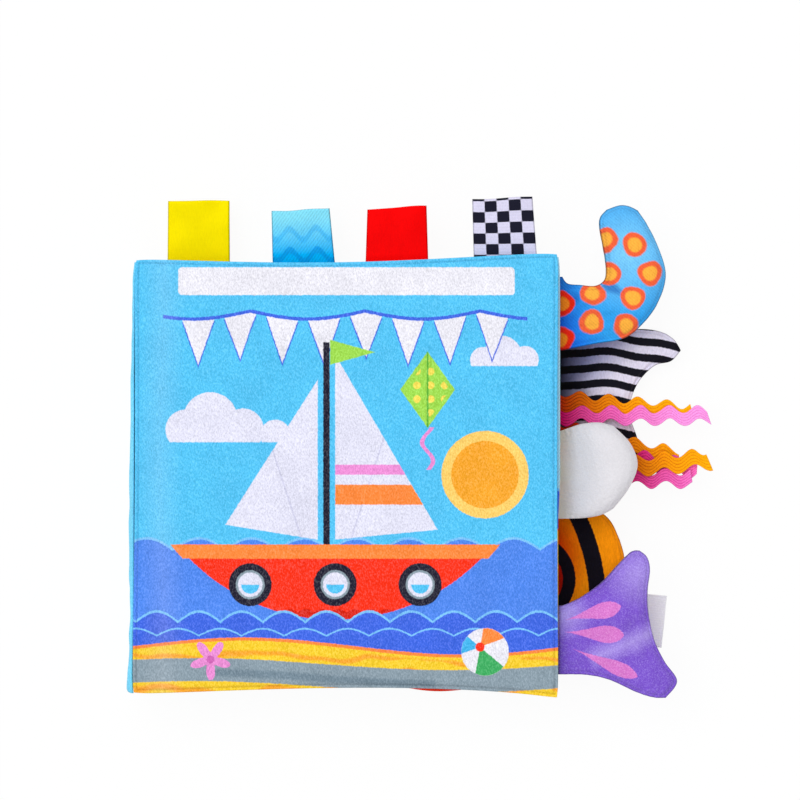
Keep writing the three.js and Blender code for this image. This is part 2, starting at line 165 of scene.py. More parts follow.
class Print:
    """A ground colour and the shapes printed over it, one after another.

    corner is the point of the object, in metres, that the print measures its millimetres from. With
    follows_cloth it measures along the piece's own UV map instead of straight through space. spread is how
    many millimetres the ink creeps along the pile, which makes the edge of each shape wander.
    """

    def __init__(self, tree, ground, corner=(0.0, 0.0), follows_cloth=False, spread=0.5):
        self.tree = tree
        self.colour = srgb(ground)
        place = node(tree, "TexCoord", out="UV" if follows_cloth else "Object")
        shift = (-corner[0] / MM, -corner[1] / MM, 0)
        flat = node(tree, "VectorMath", (place, (1 / MM, 1 / MM, 0), shift), operation="MULTIPLY_ADD")
        fine = {"Vector": place, "Scale": 1 / (PILE_SIZE * MM), "Detail": 1.0}
        lean = (node(tree, "TexNoise", fine, "Color"), (spread,) * 3, (-spread / 2,) * 3)
        creep = node(tree, "VectorMath", lean, operation="MULTIPLY_ADD")
        moved = node(tree, "VectorMath", (flat, creep), operation="ADD")
        self.point = node(tree, "VectorMath", (moved, (1, 1, 0)), operation="MULTIPLY")
        self.x, self.y = (self.field("SeparateXYZ", (self.point,), axis) for axis in "XY")

    def field(self, kind, inputs, out=0, **properties):
        """One node's output as a field."""
        return Field(self.tree, node(self.tree, kind, inputs, out, **properties))

    def away(self, x, y):
        """Distance from one point of the cloth."""
        return self.field("VectorMath", (self.point, (x, y, 0)), "Value", operation="DISTANCE")

    def discs(self, *places):
        """Round shapes (x, y, radius) in one."""
        return functools.reduce(operator.or_, [self.away(x, y) - radius for x, y, radius in places])

    def lattice(self, spacing):
        """Distance from the middle of the square of a lattice that a point is in."""
        cell = node(self.tree, "VectorMath", (self.point, (spacing, spacing, 1)), operation="SNAP")
        middle = node(self.tree, "VectorMath", (cell, (spacing / 2, spacing / 2, 0)), operation="ADD")
        return self.field("VectorMath", (self.point, middle), "Value", operation="DISTANCE")

    def beyond(self, start, end):
        """Distance to the right of the line from start to end, less than 0 on its left."""
        run, rise = end[0] - start[0], end[1] - start[1]
        length = math.hypot(run, rise)
        across = (rise / length, -run / length, 0)
        travel = self.field("VectorMath", (self.point, across), "Value", operation="DOT_PRODUCT")
        return travel - (start[0] * across[0] + start[1] * across[1])

    def polygon(self, *corners):
        """A convex shape inside straight lines that go round it anticlockwise."""
        sides = zip(corners, corners[1:] + corners[:1])
        return functools.reduce(operator.and_, [self.beyond(start, end) for start, end in sides])

    def box(self, left, right, foot, head):
        """An upright rectangle."""
        wide = abs(self.x - (left + right) / 2) - (right - left) / 2
        high = abs(self.y - (foot + head) / 2) - (head - foot) / 2
        return wide & high

    def scallops(self, height, size, rise, shift=0.0):
        """What lies below a row of round humps: height plus rise times the absolute sine of x."""
        hump = abs(((self.x + shift) * (math.pi / size)).math("SINE"))
        return self.y - height - hump * rise

    def drop(self, point, end, radius):
        """A teardrop: how far a point lies from a line, less a radius that grows and then closes along it.

        At a share s of the line the radius is the greatest radius times sin(pi * s ** 2.2) to the power 0.7.
        """
        line = (end[0] - point[0], end[1] - point[1], 0)
        start = node(self.tree, "VectorMath", (self.point, (*point, 0)), operation="SUBTRACT")
        along = node(self.tree, "VectorMath", (start, line), "Value", operation="DOT_PRODUCT")
        share = self.field("MapRange", (along, 0.0, line[0] ** 2 + line[1] ** 2))
        foot = node(self.tree, "VectorMath", {0: line, "Scale": share.socket}, operation="SCALE")
        off = self.field("VectorMath", (start, foot), "Value", operation="DISTANCE")
        swelling = (share.math("POWER", 2.2) * math.pi).math("SINE").math("MAXIMUM", 0.0)
        return off - swelling.math("POWER", 0.7) * radius

    def lay(self, ink, shape, softness=EDGE_SOFTNESS, strength=1.0, blend="MIX"):
        """Prints a colour, or another socket, wherever the shape's distance is below 0, thinly if asked."""
        cover = node(self.tree, "MapRange", (shape.socket, softness, -softness, 0.0, strength))
        ink = srgb(ink) if isinstance(ink, str) else ink
        self.colour = node(self.tree, "Mix", {0: cover, 6: self.colour, 7: ink}, 2, data_type="RGBA",
                           blend_type=blend)

    def shade(self, tint, shape, softness, strength=1.0):
        """Deepens what is printed so far by a tint, as cloth looks deeper where it gathers."""
        self.lay(tint, shape, softness, strength, "MULTIPLY")


def printed(ground, **on):
    """Turns a function that draws on a Print with this ground into a paint, which a cloth is made with."""
    def as_paint(draw):
        def paint(tree):
            art = Print(tree, ground, **on)
            draw(art)
            return art.colour
        return paint
    return as_paint


def plain(code):
    """A paint of one colour."""
    return lambda tree: srgb(code)


# %% [markdown]
# ## Cloth as a material
#
# Printed velour, brushed knit, satin ribbon and plush differ in four things: how long the fibres are, which
# way they lie, how much light catches on their tips, and how deep the surface is. So one function makes them
# all. Fine noise lightens and darkens the colour the way leaning fibres do, and raises the surface. Broader
# noise is the pile brushed this way and that. Sheen is the pale light on fibre tips.

# %% A function for every cloth
# Width of the painted shade at the seam, and the place and width of the painted shade in the groove inside it
RIM_WIDTH = 0.75
GROOVE_SHADE_AT = 1.4
GROOVE_SHADE_WIDTH = 0.6
BRUSHED_PATCH = 14
UNDYED = "#f2f2f8"


def wire(tree, colour, height, strength, distance, values):
    """Leads a colour and a bump of some strength and depth to the shader, and sets its other inputs."""
    shader = tree.nodes["Principled BSDF"]
    bump = node(tree, "Bump", {"Height": height, "Strength": strength, "Distance": distance})
    tree.links.new(colour, shader.inputs["Base Color"])
    tree.links.new(bump, shader.inputs["Normal"])
    for name, value in values.items():
        shader.inputs[name].default_value = value


def cloth_material(name, paint, fibre=0.5, lean=40, stretch=0.6, speckle=0.15, brushed=0.04, roughness=0.9,
                   sheen=0.08, relief=0.35, specular=0.05, rib=None, rim=0.0, stitch=0.0, tips=0.0):
    """A cloth whose colour is paint(tree). fibre is the size of its speckle in millimetres, lean its slant in
    degrees, stretch how much longer it is one way, speckle and brushed the shares that the colour varies by,
    and rib = (spacing in millimetres, angle, depth share) gives it a woven rib. rim and the share after it
    are painted shade: how much the cloth darkens where it turns into its seam and along the groove just
    inside it. tips is the share of undyed white that shows at the ends of the highest fibres."""
    made = bpy.data.materials.new(name)
    made.use_nodes = True
    tree = made.node_tree
    place = node(tree, "TexCoord", out="Object")
    turned = node(tree, "Mapping", {"Vector": place, "Rotation": (0, 0, math.radians(lean)),
                                    "Scale": (1, stretch, 1)})
    fibres = node(tree, "TexNoise", {"Vector": turned, "Scale": 1 / (fibre * MM), "Detail": 2.0,
                                     "Roughness": 0.6})
    patches = node(tree, "TexNoise", {"Vector": place, "Scale": 1 / (BRUSHED_PATCH * MM), "Detail": 2.0})
    tone = node(tree, "MapRange", (fibres, 0.3, 0.7, 1 - speckle, 1 + speckle))
    patch_tone = node(tree, "MapRange", (patches, 0.35, 0.65, 1 - brushed, 1 + brushed))
    value = Field(tree, tone) * Field(tree, patch_tone)
    height = Field(tree, fibres)
    if rib:
        spacing, angle, depth = rib
        rows = node(tree, "Mapping", {"Vector": place, "Rotation": (0, 0, math.radians(angle))})
        across = Field(tree, node(tree, "SeparateXYZ", (rows,)))
        ridge = (across * (2 * math.pi / (spacing * MM))).math("SINE")
        value = value * (ridge * (depth / 4) + 1.0)
        height = height + ridge * depth
    # Painted shade: darker where the cloth turns into its seam and along the groove inside the lip.
    if rim or stitch:
        seam = Field(tree, node(tree, "Attribute", out="Fac", attribute_name="seam"))
        value = value * seam.dark_band(0.0, RIM_WIDTH, rim) * seam.dark_band(GROOVE_SHADE_AT, GROOVE_SHADE_WIDTH, stitch)
    colour = node(tree, "HueSaturation", {"Color": paint(tree), "Value": value.socket})
    if tips:
        bare = node(tree, "MapRange", (fibres, 0.48, 0.68, 0.0, tips))
        colour = node(tree, "Mix", {0: bare, 6: colour, 7: srgb(UNDYED)}, 2, data_type="RGBA")
    values = {"Roughness": roughness, "Specular IOR Level": specular, "Sheen Weight": sheen}
    wire(tree, colour, height.socket, relief, fibre * MM, {**values, "Sheen Roughness": 0.5})
    return made


# %% [markdown]
# ## Surfaces from arrays
#
# Every new piece is a thin slab: one grid of points for its upper face, one for its lower face, and a strip
# of squares that closes the edge all round. NumPy works out all the points of a grid at once, so a surface
# with thousands of points needs no loop. Points are worked out in millimetres and turned to metres once.

# %% Slabs of cloth
FAR_FROM_SEAM = 50.0


def grid(along, across):
    """Every pair of two lists of shares: the first changes from row to row, the second along a row."""
    return np.meshgrid(along, across, indexing="ij")


def crowded(count, crowding=0.75):
    """Shares from 0 to 1 that crowd towards both ends: t less crowding * sin(2 pi t) / (2 pi)."""
    even = np.linspace(0, 1, count)
    return even - crowding * np.sin(2 * np.pi * even) / (2 * np.pi)


def even_arc(count):
    """Shares from 0 to 1 that follow a cosine, which turns a half ellipse into an even arc."""
    return (1 - np.cos(np.pi * np.linspace(0, 1, count))) / 2


def rounded(share):
    """A half ellipse over the shares 0 to 1: the root of 1 less the square of the way from the middle."""
    return np.sqrt(np.clip(1 - (2 * share - 1) ** 2, 0, 1))


def squares(index):
    """The four corners of every square of a grid of point numbers, anticlockwise."""
    corners = [index[:-1, :-1], index[1:, :-1], index[1:, 1:], index[:-1, 1:]]
    return np.stack(corners, axis=-1).reshape(-1, 4)


def slab(name, high, low, uv=None, seam=None):
    """A closed thin mesh between two grids of points in millimetres, high above low.

    The edge strip joins the outermost points of both grids in turn. uv holds a pair of metres per point, and
    seam the millimetres from each point to the nearest seam, which the material reads.
    """
    rows, columns = high.shape[:2]
    index = np.arange(rows * columns).reshape(rows, columns)
    ring = np.concatenate([index[:-1, 0], index[-1, :-1], index[:0:-1, -1], index[0, :0:-1]])
    after = np.roll(ring, -1)
    under = rows * columns
    edge = np.stack([ring + under, after + under, after, ring], axis=-1)
    faces = np.concatenate([squares(index), squares(index)[:, ::-1] + under, edge])
    mesh = bpy.data.meshes.new(name)
    mesh.from_pydata(np.concatenate([high.reshape(-1, 3), low.reshape(-1, 3)]) * MM, [], faces.tolist(),
                     shade_flat=False)
    if uv is not None:
        at_corners = np.concatenate([uv.reshape(-1, 2)] * 2)[faces.ravel()]
        mesh.uv_layers.new(name="cloth").data.foreach_set("uv", at_corners.astype(np.float32).ravel())
    distances = np.full((rows, columns), FAR_FROM_SEAM) if seam is None else seam
    kept = mesh.attributes.new("seam", "FLOAT", "POINT")
    kept.data.foreach_set("value", np.concatenate([distances.ravel()] * 2).astype(np.float32))
    mesh.validate()
    made = bpy.data.objects.new(name, mesh)
    scene.collection.objects.link(made)
    return made


def dress(made, material, slot, replaced, body=None, between=None):
    """Gives a piece its finish and ties it to one body. Given two bodies and two bend points instead, it only
    bakes the piece's place into its mesh.
    """
    made.data.materials.append(material)
    if between:
        first, second, start, end = between
        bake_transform(made)
        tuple(start)
        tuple(end)
    else:
        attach(made, body)
    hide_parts(*replaced)


def stack(x, y, z):
    """Three grids of coordinates as one grid of points."""
    return np.stack(np.broadcast_arrays(x, y, z), axis=-1).astype(float)


# %% [markdown]
# ## Unevenness, seams and creases
#
# Sewn cloth is never quite smooth. Three effects are enough here: broad unevenness where the wadding is
# thicker or thinner, puckers that the stitches draw in close to a seam, and single creases. Each is a
# formula over the plan, in millimetres of height. The phases come from a seeded draw, so every run agrees.

# %% Small reliefs
RIPPLE_WAVES = 9


def ripples(x, y, size, seed, height=1.0):
    """Soft unevenness: the sum of plane waves of about one size, in directions and phases drawn at random."""
    draw = np.random.default_rng(seed)
    angle, phase = (draw.uniform(0, 2 * np.pi, RIPPLE_WAVES) for _ in range(2))
    pitch = 2 * np.pi / size * draw.uniform(0.7, 1.4, RIPPLE_WAVES)
    travel = x[..., None] * np.cos(angle) + y[..., None] * np.sin(angle)
    return height * (np.sin(travel * pitch + phase).sum(-1) * math.sqrt(2 / RIPPLE_WAVES))


def puckers(edge, along, spacing, depth, reach, seed):
    """Small folds square to a seam: a sine along the seam that dies away with the distance from it."""
    uneven = ripples(along, edge * 0, spacing * 4, seed)
    return depth * np.exp(-edge / reach) * np.sin(2 * np.pi * along / spacing + 1.5 * uneven)


def crease(x, y, start, end, width, depth):
    """A bell-shaped valley along a straight line: depth times exp(-(distance / width) squared)."""
    start, end = np.array(start, float), np.array(end, float)
    run = end - start
    share = np.clip(((x - start[0]) * run[0] + (y - start[1]) * run[1]) / (run @ run), 0, 1)
    off = np.hypot(x - start[0] - share * run[0], y - start[1] - share * run[1])
    return -depth * np.exp(-(off / width) ** 2)


# %% [markdown]
# ## Camera, light and floor
#
# The photograph looks straight down on the book from far away. One pixel is 0.4 mm at the height of the
# front cover, and the picture is 800 pixels wide. A long lens keeps the lower pages from shrinking. Soft
# light from all round and one broad lamp from the spine side give every colour about its own value. The
# floor looks white to the camera and still takes a faint shadow.

# %% Studio
PICTURE_WIDTH = 800 * 0.4
PICTURE_CENTRE = (-8.0, 19.47)
LENS, SENSOR = 150, 36
SKY_LEVEL = 0.58
LAMP_LEVEL = 1.68
LAMP_ANGLE = 55
LAMP_TILT = (-12, -17, 0)
FLOOR_HALF = 3.0
FLOOR_GLOW_SHARE = 0.93

camera = bpy.data.objects.new("camera", bpy.data.cameras.new("camera"))
camera.data.lens = LENS
camera.data.sensor_width = SENSOR
camera.data.clip_end = 20
distance = LENS / SENSOR * PICTURE_WIDTH
camera.location = (PICTURE_CENTRE[0] * MM, PICTURE_CENTRE[1] * MM, cad_high.z + distance * MM)
lamp = bpy.data.objects.new("lamp", bpy.data.lights.new("lamp", "SUN"))
lamp.data.energy = LAMP_LEVEL
lamp.data.angle = math.radians(LAMP_ANGLE)
lamp.rotation_euler = [math.radians(turn) for turn in LAMP_TILT]
floor_mesh = bpy.data.meshes.new("floor")
corners = [(x * FLOOR_HALF, y * FLOOR_HALF, 0) for x, y in ((-1, -1), (1, -1), (1, 1), (-1, 1))]
floor_mesh.from_pydata(corners, [], [(0, 1, 2, 3)])
floor = bpy.data.objects.new("floor", floor_mesh)
for made in (camera, lamp, floor):
    scene.collection.objects.link(made)
floor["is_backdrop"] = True
scene.camera = camera
scene.view_settings.view_transform = "Standard"


def seen(tree):
    """1 for rays that show a surface to the camera, also by gloss or through film, and 0 for light."""
    rays = [Field(tree, node(tree, "LightPath", out=f"Is {kind} Ray"))
            for kind in ("Camera", "Glossy", "Transmission")]
    return functools.reduce(operator.and_, rays).socket


world = bpy.data.worlds.new("studio")
paper = bpy.data.materials.new("white paper floor")
for made in (world, paper):
    made.use_nodes = True
    made.node_tree.nodes.clear()
scene.world = world
tree = world.node_tree
strength = node(tree, "MapRange", (seen(tree), 0.0, 1.0, SKY_LEVEL, 1.0))
sky = node(tree, "Background", {"Color": srgb("#ffffff"), "Strength": strength})
node(tree, "OutputWorld", {"Surface": sky})
tree = paper.node_tree
share = node(tree, "MapRange", (seen(tree), 0.0, 1.0, 0.0, FLOOR_GLOW_SHARE))
shadowed = node(tree, "BsdfDiffuse", {"Color": srgb("#fafafa")})
bright = node(tree, "Emission", {"Color": srgb("#ffffff"), "Strength": 1.0})
node(tree, "OutputMaterial", {"Surface": node(tree, "MixShader", (share, shadowed, bright))})
floor_mesh.materials.append(paper)
print("camera", round(distance / 1000, 2), "m above the cover")

# %% [markdown]
# ## The shape of a page
#
# A page is a bag: two cloths sewn face to face round the edge, turned right side out and filled with a
# layer of wadding and a sheet of crinkle film. Its corners are a little round, its foot is drawn in by the
# stuffing, and its fore edge is taller than its spine. The same formulas made the pieces of the frame, so
# the cloth lies where they are. What is added here is the seam: a lip of cloth at the very edge, a groove
# inside it, puckers, and the unevenness of the wadding.

# %% Page measures and formulas
BODIES = ["back_cover", "leaf_4", "leaf_3", "leaf_2", "leaf_1", "front_cover"]
PAGES = {
    "cover": dict(width=169.9, height=173.5, thick=7.0, cloth=0.9, draw=0.5, out=0.4, kick=1.0),
    "leaf": dict(width=170.5, height=172.0, thick=6.4, cloth=0.7, draw=0.0, out=0.0, kick=2.2),
}
CORNER_PULL = 2.2 * (1 - math.sqrt(0.5))
CORNER_SHARPNESS = 20
FORE_HEAD_RISE = 3.4
FORE_FOOT_DROP = 2.0
SPINE_HEAD_RISE = 1.0
HEAD_DRAW = 1.3
FOOT_DRAW = 2.5
LEAF_SHY = 0.8
SAG = dict(depth=3.6, at=0.71, width=0.11, fade=8)
LAYER_GAP = 0.3
LIP_GROOVE = dict(at=1.4, width=0.55, depth=0.42)
# Height, pitch, direction in degrees and phase in turns of the front cover's broad swells
COVER_SWELLS = [(0.4, 62, 20, 0.1), (0.3, 48, 96, 0.4), (0.25, 37, 152, 0.75)]
FISH_TAIL_HANGS = 2.6

SPINE_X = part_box("leaf_1_front_cloth")[1].x / MM - PAGES["leaf"]["width"]
FOOT_Y = cad_low.y / MM + FISH_TAIL_HANGS
strips = {body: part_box(body + "_spine_strip") for body in BODIES}
MIDDLE = {body: (low.z + high.z) / 2 / MM for body, (low, high) in strips.items()}
print("page middles in mm:", {body: round(z, 2) for body, z in MIDDLE.items()})


def kind_of(body):
    """Whether a body is a cover or a leaf."""
    return "cover" if "cover" in body else "leaf"


def page_plan(a, b, kind):
    """Plan of a page in the frame's millimetres, at a share a from the spine and b from the foot.

    x is a times the width, less the kick at the foot of the spine, less the draw of the sides. The fore edge
    of a leaf also lies a little back over its lower half, under the edge of the cover.
    y is b times the height, plus the rise and drop at spine and fore edge as powers of a, plus the draw of
    foot and head as half sines. Both are pulled in at the corners by a high power of the distance from the
    middle.
    """
    size = PAGES[kind]
    up, out = 2 * b - 1, 2 * a - 1
    pull = CORNER_PULL * np.abs(up * out) ** CORNER_SHARPNESS
    x = a * size["width"] - size["out"] - size["draw"] * np.sin(np.pi * b) * out
    x = x - size["kick"] * (1 - b) * (1 - a)
    if kind == "leaf":
        x = x - LEAF_SHY * a ** 8 * np.clip((0.5 - b) / 0.1, 0, 1)
    rise = b * (FORE_HEAD_RISE * a ** 1.8 + SPINE_HEAD_RISE * (1 - a) ** 6)
    pinch = (1 - b) * FOOT_DRAW * np.sin(np.pi * a ** 1.15) - b * HEAD_DRAW * np.sin(np.pi * a) ** 2
    y = b * size["height"] + rise - (1 - b) * FORE_FOOT_DROP * a ** 12 + pinch
    y = y + (PAGES["cover"]["height"] - size["height"]) / 2
    return x - np.sign(out) * pull + SPINE_X, y - np.sign(up) * pull + FOOT_Y


def edge_distance(a, b, kind):
    """Millimetres from the nearest side of the page."""
    wide, high = PAGES[kind]["width"], PAGES[kind]["height"]
    return np.minimum(np.minimum(a, 1 - a) * wide, np.minimum(b, 1 - b) * high)


def fullness(a, b):
    """How full a pad is, each way the root of 1 less the fourth power of the way from the middle."""
    return math.prod(np.sqrt(np.clip(1 - np.abs(2 * share - 1) ** 4, 0, 1)) for share in (a, b))


def page_half(a, b, kind):
    """Half the thickness of a page: from the seam to the crown, with a groove just inside the lip."""
    size = PAGES[kind]
    seam = size["cloth"] + LAYER_GAP / 2
    off = (edge_distance(a, b, kind) - LIP_GROOVE["at"]) / LIP_GROOVE["width"]
    return seam + (size["thick"] / 2 - seam) * fullness(a, b) - LIP_GROOVE["depth"] * np.exp(-off ** 2)


def swell(x, y):
    """How far the wadding lifts the front cover at a point: a sum of plane waves over the page's own plan."""
    total = x * 0
    for height, pitch, degrees, turns in COVER_SWELLS:
        angle = math.radians(degrees)
        travel = (x - SPINE_X) * math.cos(angle) + (y - FOOT_Y) * math.sin(angle)
        total = total + height * np.sin(2 * np.pi * (travel / pitch + turns))
    return total


def page_relief(x, y, a, b, body, amount):
    """Unevenness of the wadding over the middle, and puckers beside the seam, both nothing at the edge."""
    edge = edge_distance(a, b, kind_of(body))
    seed = 10 * BODIES.index(body)
    uneven = ripples(x, y, size=19, seed=seed + 2, height=0.13) * np.clip(edge / 9, 0, 1) ** 1.5
    folds = puckers(edge, x + y, spacing=8.5, depth=0.3, reach=4.5, seed=seed + 3)
    return amount * (uneven + folds * np.clip(edge / 1.6, 0, 1))


# %% [markdown]
# ## What the covers and leaves are printed with
#
# The front cover is printed velour. Its picture is a plain seaside scene: a boat on round waves, a sun, two
# clouds, a kite, a row of pennants and a beach. It is laid down in the order of the list below, far things
# first, in millimetres from the foot of the spine. The white strip at the head is left bare.

# %% The picture on the front cover
SKY = "#53c4f5"
ROYAL = "#3f68e4"
MID_SEA = "#4f88ee"
CREST = "#7cc4fb"
SAND = "#f8cf2c"
DEEP_SAND = "#f9a82a"
SHORE = "#ff8a3c"
STONE = "#8b9da9"
DARK_STONE = "#758997"
RED = "#ff3214"
DEEP_RED = "#d9220c"
WHITE = "#e2e2f5"
SAIL_SEAM = "#cfcfe8"
BRIGHT_WHITE = "#ebeaf4"
INK = "#201f32"
GREEN = "#9fdc4f"
YELLOW = "#f6e05a"
PINK = "#ec8fd6"
KITE_AT = 117
# Half the distance from one pennant to the next, half its width, and how fast it narrows
PENNANT_PITCH, PENNANT_HALF, PENNANT_SLOPE = 8.4, 6.6, 0.36
page_print = functools.partial(printed, corner=(SPINE_X * MM, FOOT_Y * MM))


@page_print(SKY)
def cover_picture(art):
    """The seaside picture, drawn in millimetres from the foot corner of the spine."""
    x, y = art.x, art.y
    art.lay("#fdd06a", art.away(140, 88) - 17.5)
    art.lay(DEEP_SAND, art.away(140, 88) - 13.5)
    art.lay(WHITE, art.discs((20, 106, 8), (30, 110, 11), (43, 106, 8.5), (56, 104, 6)) & (-(y - 101)))
    art.lay(WHITE, art.discs((139, 134, 5), (147, 136, 7.5), (156, 134, 5.5)) & (-(y - 131.5)))

    kite = (abs(x - KITE_AT) + abs(y - 122) * 0.72 - 11) * 0.8
    art.lay(GREEN, kite)
    art.lay(YELLOW, (art.lattice(5.5) - 1.5) & (kite + 1.6))
    art.lay("#5fb23c", (abs(x - KITE_AT) - 0.35) & kite)
    swing = (y * 0.42).math("SINE") * 2.2
    art.lay(PINK, (abs(x - KITE_AT - swing) - 0.9) & art.box(KITE_AT - 8, KITE_AT + 8, 90, 107))

    # Pennants: triangles as wide as the folded x says, below a string that hangs in shallow arcs.
    string = y - 153.5 + abs((x * (math.pi / 46.0)).math("SINE")) * 3.2
    inward = x.math("PINGPONG", PENNANT_PITCH) * -1.0 + PENNANT_PITCH - PENNANT_HALF
    flag_row = art.box(16.8, 151.2, 120, 160)
    for ink, lowered in ((ROYAL, string + 1.4), (BRIGHT_WHITE, string)):
        art.lay(ink, (inward + lowered * -PENNANT_SLOPE) & lowered & flag_row)
    art.lay(ROYAL, (abs(string) - 0.7) & art.box(11, 157, 120, 160))
    strip_corners = art.discs(*((left, foot, 1.6) for left in (18.7, 150.3) for foot in (161.5, 169.5)))
    strip = art.box(18.7, 150.3, 159.9, 171.1) | art.box(17.1, 151.9, 161.5, 169.5)
    art.lay(BRIGHT_WHITE, strip | strip_corners)

    def waves(ink, line):
        """A sea with a pale crest, from a wavy line down."""
        art.lay(CREST, line - 0.5)
        art.lay(ink, line + 0.5)

    waves(MID_SEA, art.scallops(58, 21, 4.5, shift=6))
    right_sail = art.polygon((80, 62), (121, 66), (80, 136))
    left_sail = art.polygon((73, 62), (73, 126), (36, 68))
    art.lay(WHITE, right_sail | left_sail)
    art.lay(SAIL_SEAM, (abs(art.beyond((80, 62), (104, 136)) - 6.0) - 0.3) & right_sail)
    art.lay(SAIL_SEAM, (abs(art.beyond((73, 62), (52, 126)) + 6.0) - 0.3) & left_sail)
    art.lay(SHORE, art.box(30, 130, 76, 84) & right_sail)
    art.lay(PINK, art.box(30, 130, 88, 92) & right_sail)
    art.lay(INK, art.box(75.2, 77.8, 56, 141))
    art.lay(GREEN, art.polygon((78, 132), (96, 137), (78, 142)))

    hull = (art.away(80, 112) - 82) & (y - 60)
    art.lay(RED, hull)
    art.lay(DEEP_RED, hull & art.scallops(33, 6.5, 1.2))
    art.lay(SHORE, (abs(y - 57.2) - 2.8) & (art.away(80, 112) - 84) & (y - 60))
    for porthole in (46, 80, 114):
        window = art.away(porthole, 44)
        for ink, radius in ((INK, 8.6), (STONE, 5.8), (WHITE, 4.9)):
            art.lay(ink, window - radius)
        art.lay(SKY, (window - 3.6) & (y - 44))
    waves(ROYAL, art.scallops(29, 17, 4.2))
    art.lay(CREST, abs(art.scallops(23.5, 17, 2.8, shift=8.5)) - 0.35)

    shore = y - 18.5 - (x * 0.036).math("SINE") * 3.4
    art.lay(SHORE, shore - 0.9)
    art.lay(SAND, shore + 0.4)
    streak = art.field("TexNoise", {"Vector": art.point, "Scale": 0.04, "Detail": 1.0})
    art.lay(DEEP_SAND, (-(y * 0.9 + streak * 14).math("SINE") * 2.0 + 1.2) & (shore + 1.6), softness=0.7)
    path = y - 7.5 - (x * 0.031 + 0.8).math("SINE") * 2.4
    art.lay(STONE, abs(path) - 4.6)
    art.lay(DARK_STONE, (abs(path + 1.1) - 1.5) & art.box(30, 120, -20, 60), softness=0.6)

    # A beach ball: three coloured gores on white, each a wedge from the ball's cap to past its rim.
    ball, cap = art.away(140, 17) - 9.5, (138, 19)
    art.lay(BRIGHT_WHITE, ball)
    for ink, *turns in ((SHORE, 20, 80), ("#41b6ee", 140, 200), ("#3fae62", 260, 320)):
        rim = [(cap[0] + 30 * math.cos(math.radians(turn)), cap[1] + 30 * math.sin(math.radians(turn)))
               for turn in turns]
        art.lay(ink, art.polygon(cap, *rim) & ball)
    art.lay(RED, art.away(*cap) - 1.8)

    # A starfish: the five-armed radius is a cosine of five times the angle round its middle.
    angle = (y - 14).math("ARCTAN2", x - 30) + 0.3
    art.lay(PINK, art.away(30, 14) - ((angle * 5.0).math("COSINE") * 2.7 + 5.6))
    art.lay("#d268b8", art.away(30, 14) - 1.6)

    # A painted highlight: the cover is a little paler in a soft band along the spine side,
    # where its shoulder faces the light.
    art.lay(BRIGHT_WHITE, abs(x - 10.5 - (y * 0.05).math("SINE")) - 0.5, softness=8.5, strength=0.14)


# %% [markdown]
# The inner pages show only as slivers while the book is shut, and in full when it is opened. They are
# brushed knit with broad, simple patterns: dots, stripes, checks and waves in the cover's colours. The
# first leaf has bands of sky, sea and sand, because those are the slivers that show past the cover.

# %% Patterns of the inner pages
def dotted(ground, ink, spacing, radius):
    """Dots on a square lattice."""
    return page_print(ground)(lambda art: art.lay(ink, art.lattice(spacing) - radius))


def striped(ground, ink, spacing, width, slant=0.0):
    """Stripes: the distance from the nearest of many parallel lines, folded by ping-pong."""
    return page_print(ground)(lambda art: art.lay(
        ink, (art.y + art.x * slant).math("PINGPONG", spacing / 2) - width / 2))


def rolling(ground, ink, spacing):
    """Rows of round waves, one above the other."""
    return page_print(ground)(lambda art: art.lay(
        ink, art.scallops(0.0, 14, 4.0).math("PINGPONG", spacing / 2) - 1.4))


@page_print("#b4e6f9")
def seaside_bands(art):
    """Sky with dots, sea with round waves, and sand: three bands at the heights of the slivers."""
    art.lay(BRIGHT_WHITE, (art.lattice(18) - 3.4) & (art.x - 160))
    sea = art.scallops(79, 22, 3.5)
    for ink, shape in ((CREST, sea - 0.6), (ROYAL, sea + 0.6), (SHORE, art.y - 66), (SAND, art.y - 65)):
        art.lay(ink, shape)


# %% Page finishes
# Velour is knitted, then its loops are cut to a short even pile: matt, finely speckled, pale at the tips.
velour = functools.partial(cloth_material, fibre=0.55, tips=0.07)
printed_velour = velour("printed velour", cover_picture, speckle=0.19, brushed=0.035, sheen=0.06, relief=0.5,
                        stitch=0.22)
plain_velour = velour("light blue velour", plain("#74d6f9"), speckle=0.16, relief=0.45)
# Brushed polyester knit is fine, matt and a little ribbed, softer to the eye than velour.
brushed_knit = functools.partial(cloth_material, speckle=0.09, brushed=0.03, roughness=0.95, sheen=0.06,
                                 relief=0.3, rib=(0.9, 35, 0.35), stitch=0.2)
page_prints = {
    "front_cover_lining_cloth": brushed_knit("knit with white dots", dotted(SKY, BRIGHT_WHITE, 17, 3.2)),
    "leaf_1_front_cloth": brushed_knit("knit with sky sea and sand", seaside_bands),
    "leaf_1_back_cloth": brushed_knit("knit with orange stripes", striped(SAND, SHORE, 16, 7)),
    "leaf_2_front_cloth": brushed_knit("knit with yellow dots", dotted("#8fd14a", YELLOW, 15, 3.4)),
    "leaf_2_back_cloth": brushed_knit("knit with white waves", rolling("#4fb8ee", BRIGHT_WHITE, 16)),
    "leaf_3_front_cloth": brushed_knit("knit with pale stripes", striped("#f03a1c", "#ff9a86", 18, 4, 0.5)),
    "leaf_3_back_cloth": brushed_knit("knit with pink dots", dotted(BRIGHT_WHITE, PINK, 16, 3.6)),
    "leaf_4_front_cloth": brushed_knit("knit with blue waves", rolling("#f6d24a", "#3f9ae6", 18)),
    "leaf_4_back_cloth": brushed_knit("knit with white stripes", striped("#9a7ad8", "#efe6fb", 20, 6, -0.5)),
    "back_cover_lining_cloth": brushed_knit("knit with green dots", dotted("#fbe9a0", GREEN, 19, 4.2)),
}
print("finishes for the inner pages:", len(page_prints))

# %% [markdown]
# ## Wadding, film and fibre fill
#
# These are inside the bags and can't be seen, but the book is nothing without them. Wadding is a fluffy
# sheet of polyester fibre. Crinkle film is thin clear plastic that has been crumpled, which is what makes
# the sound. The tails hold loose fibre fill.

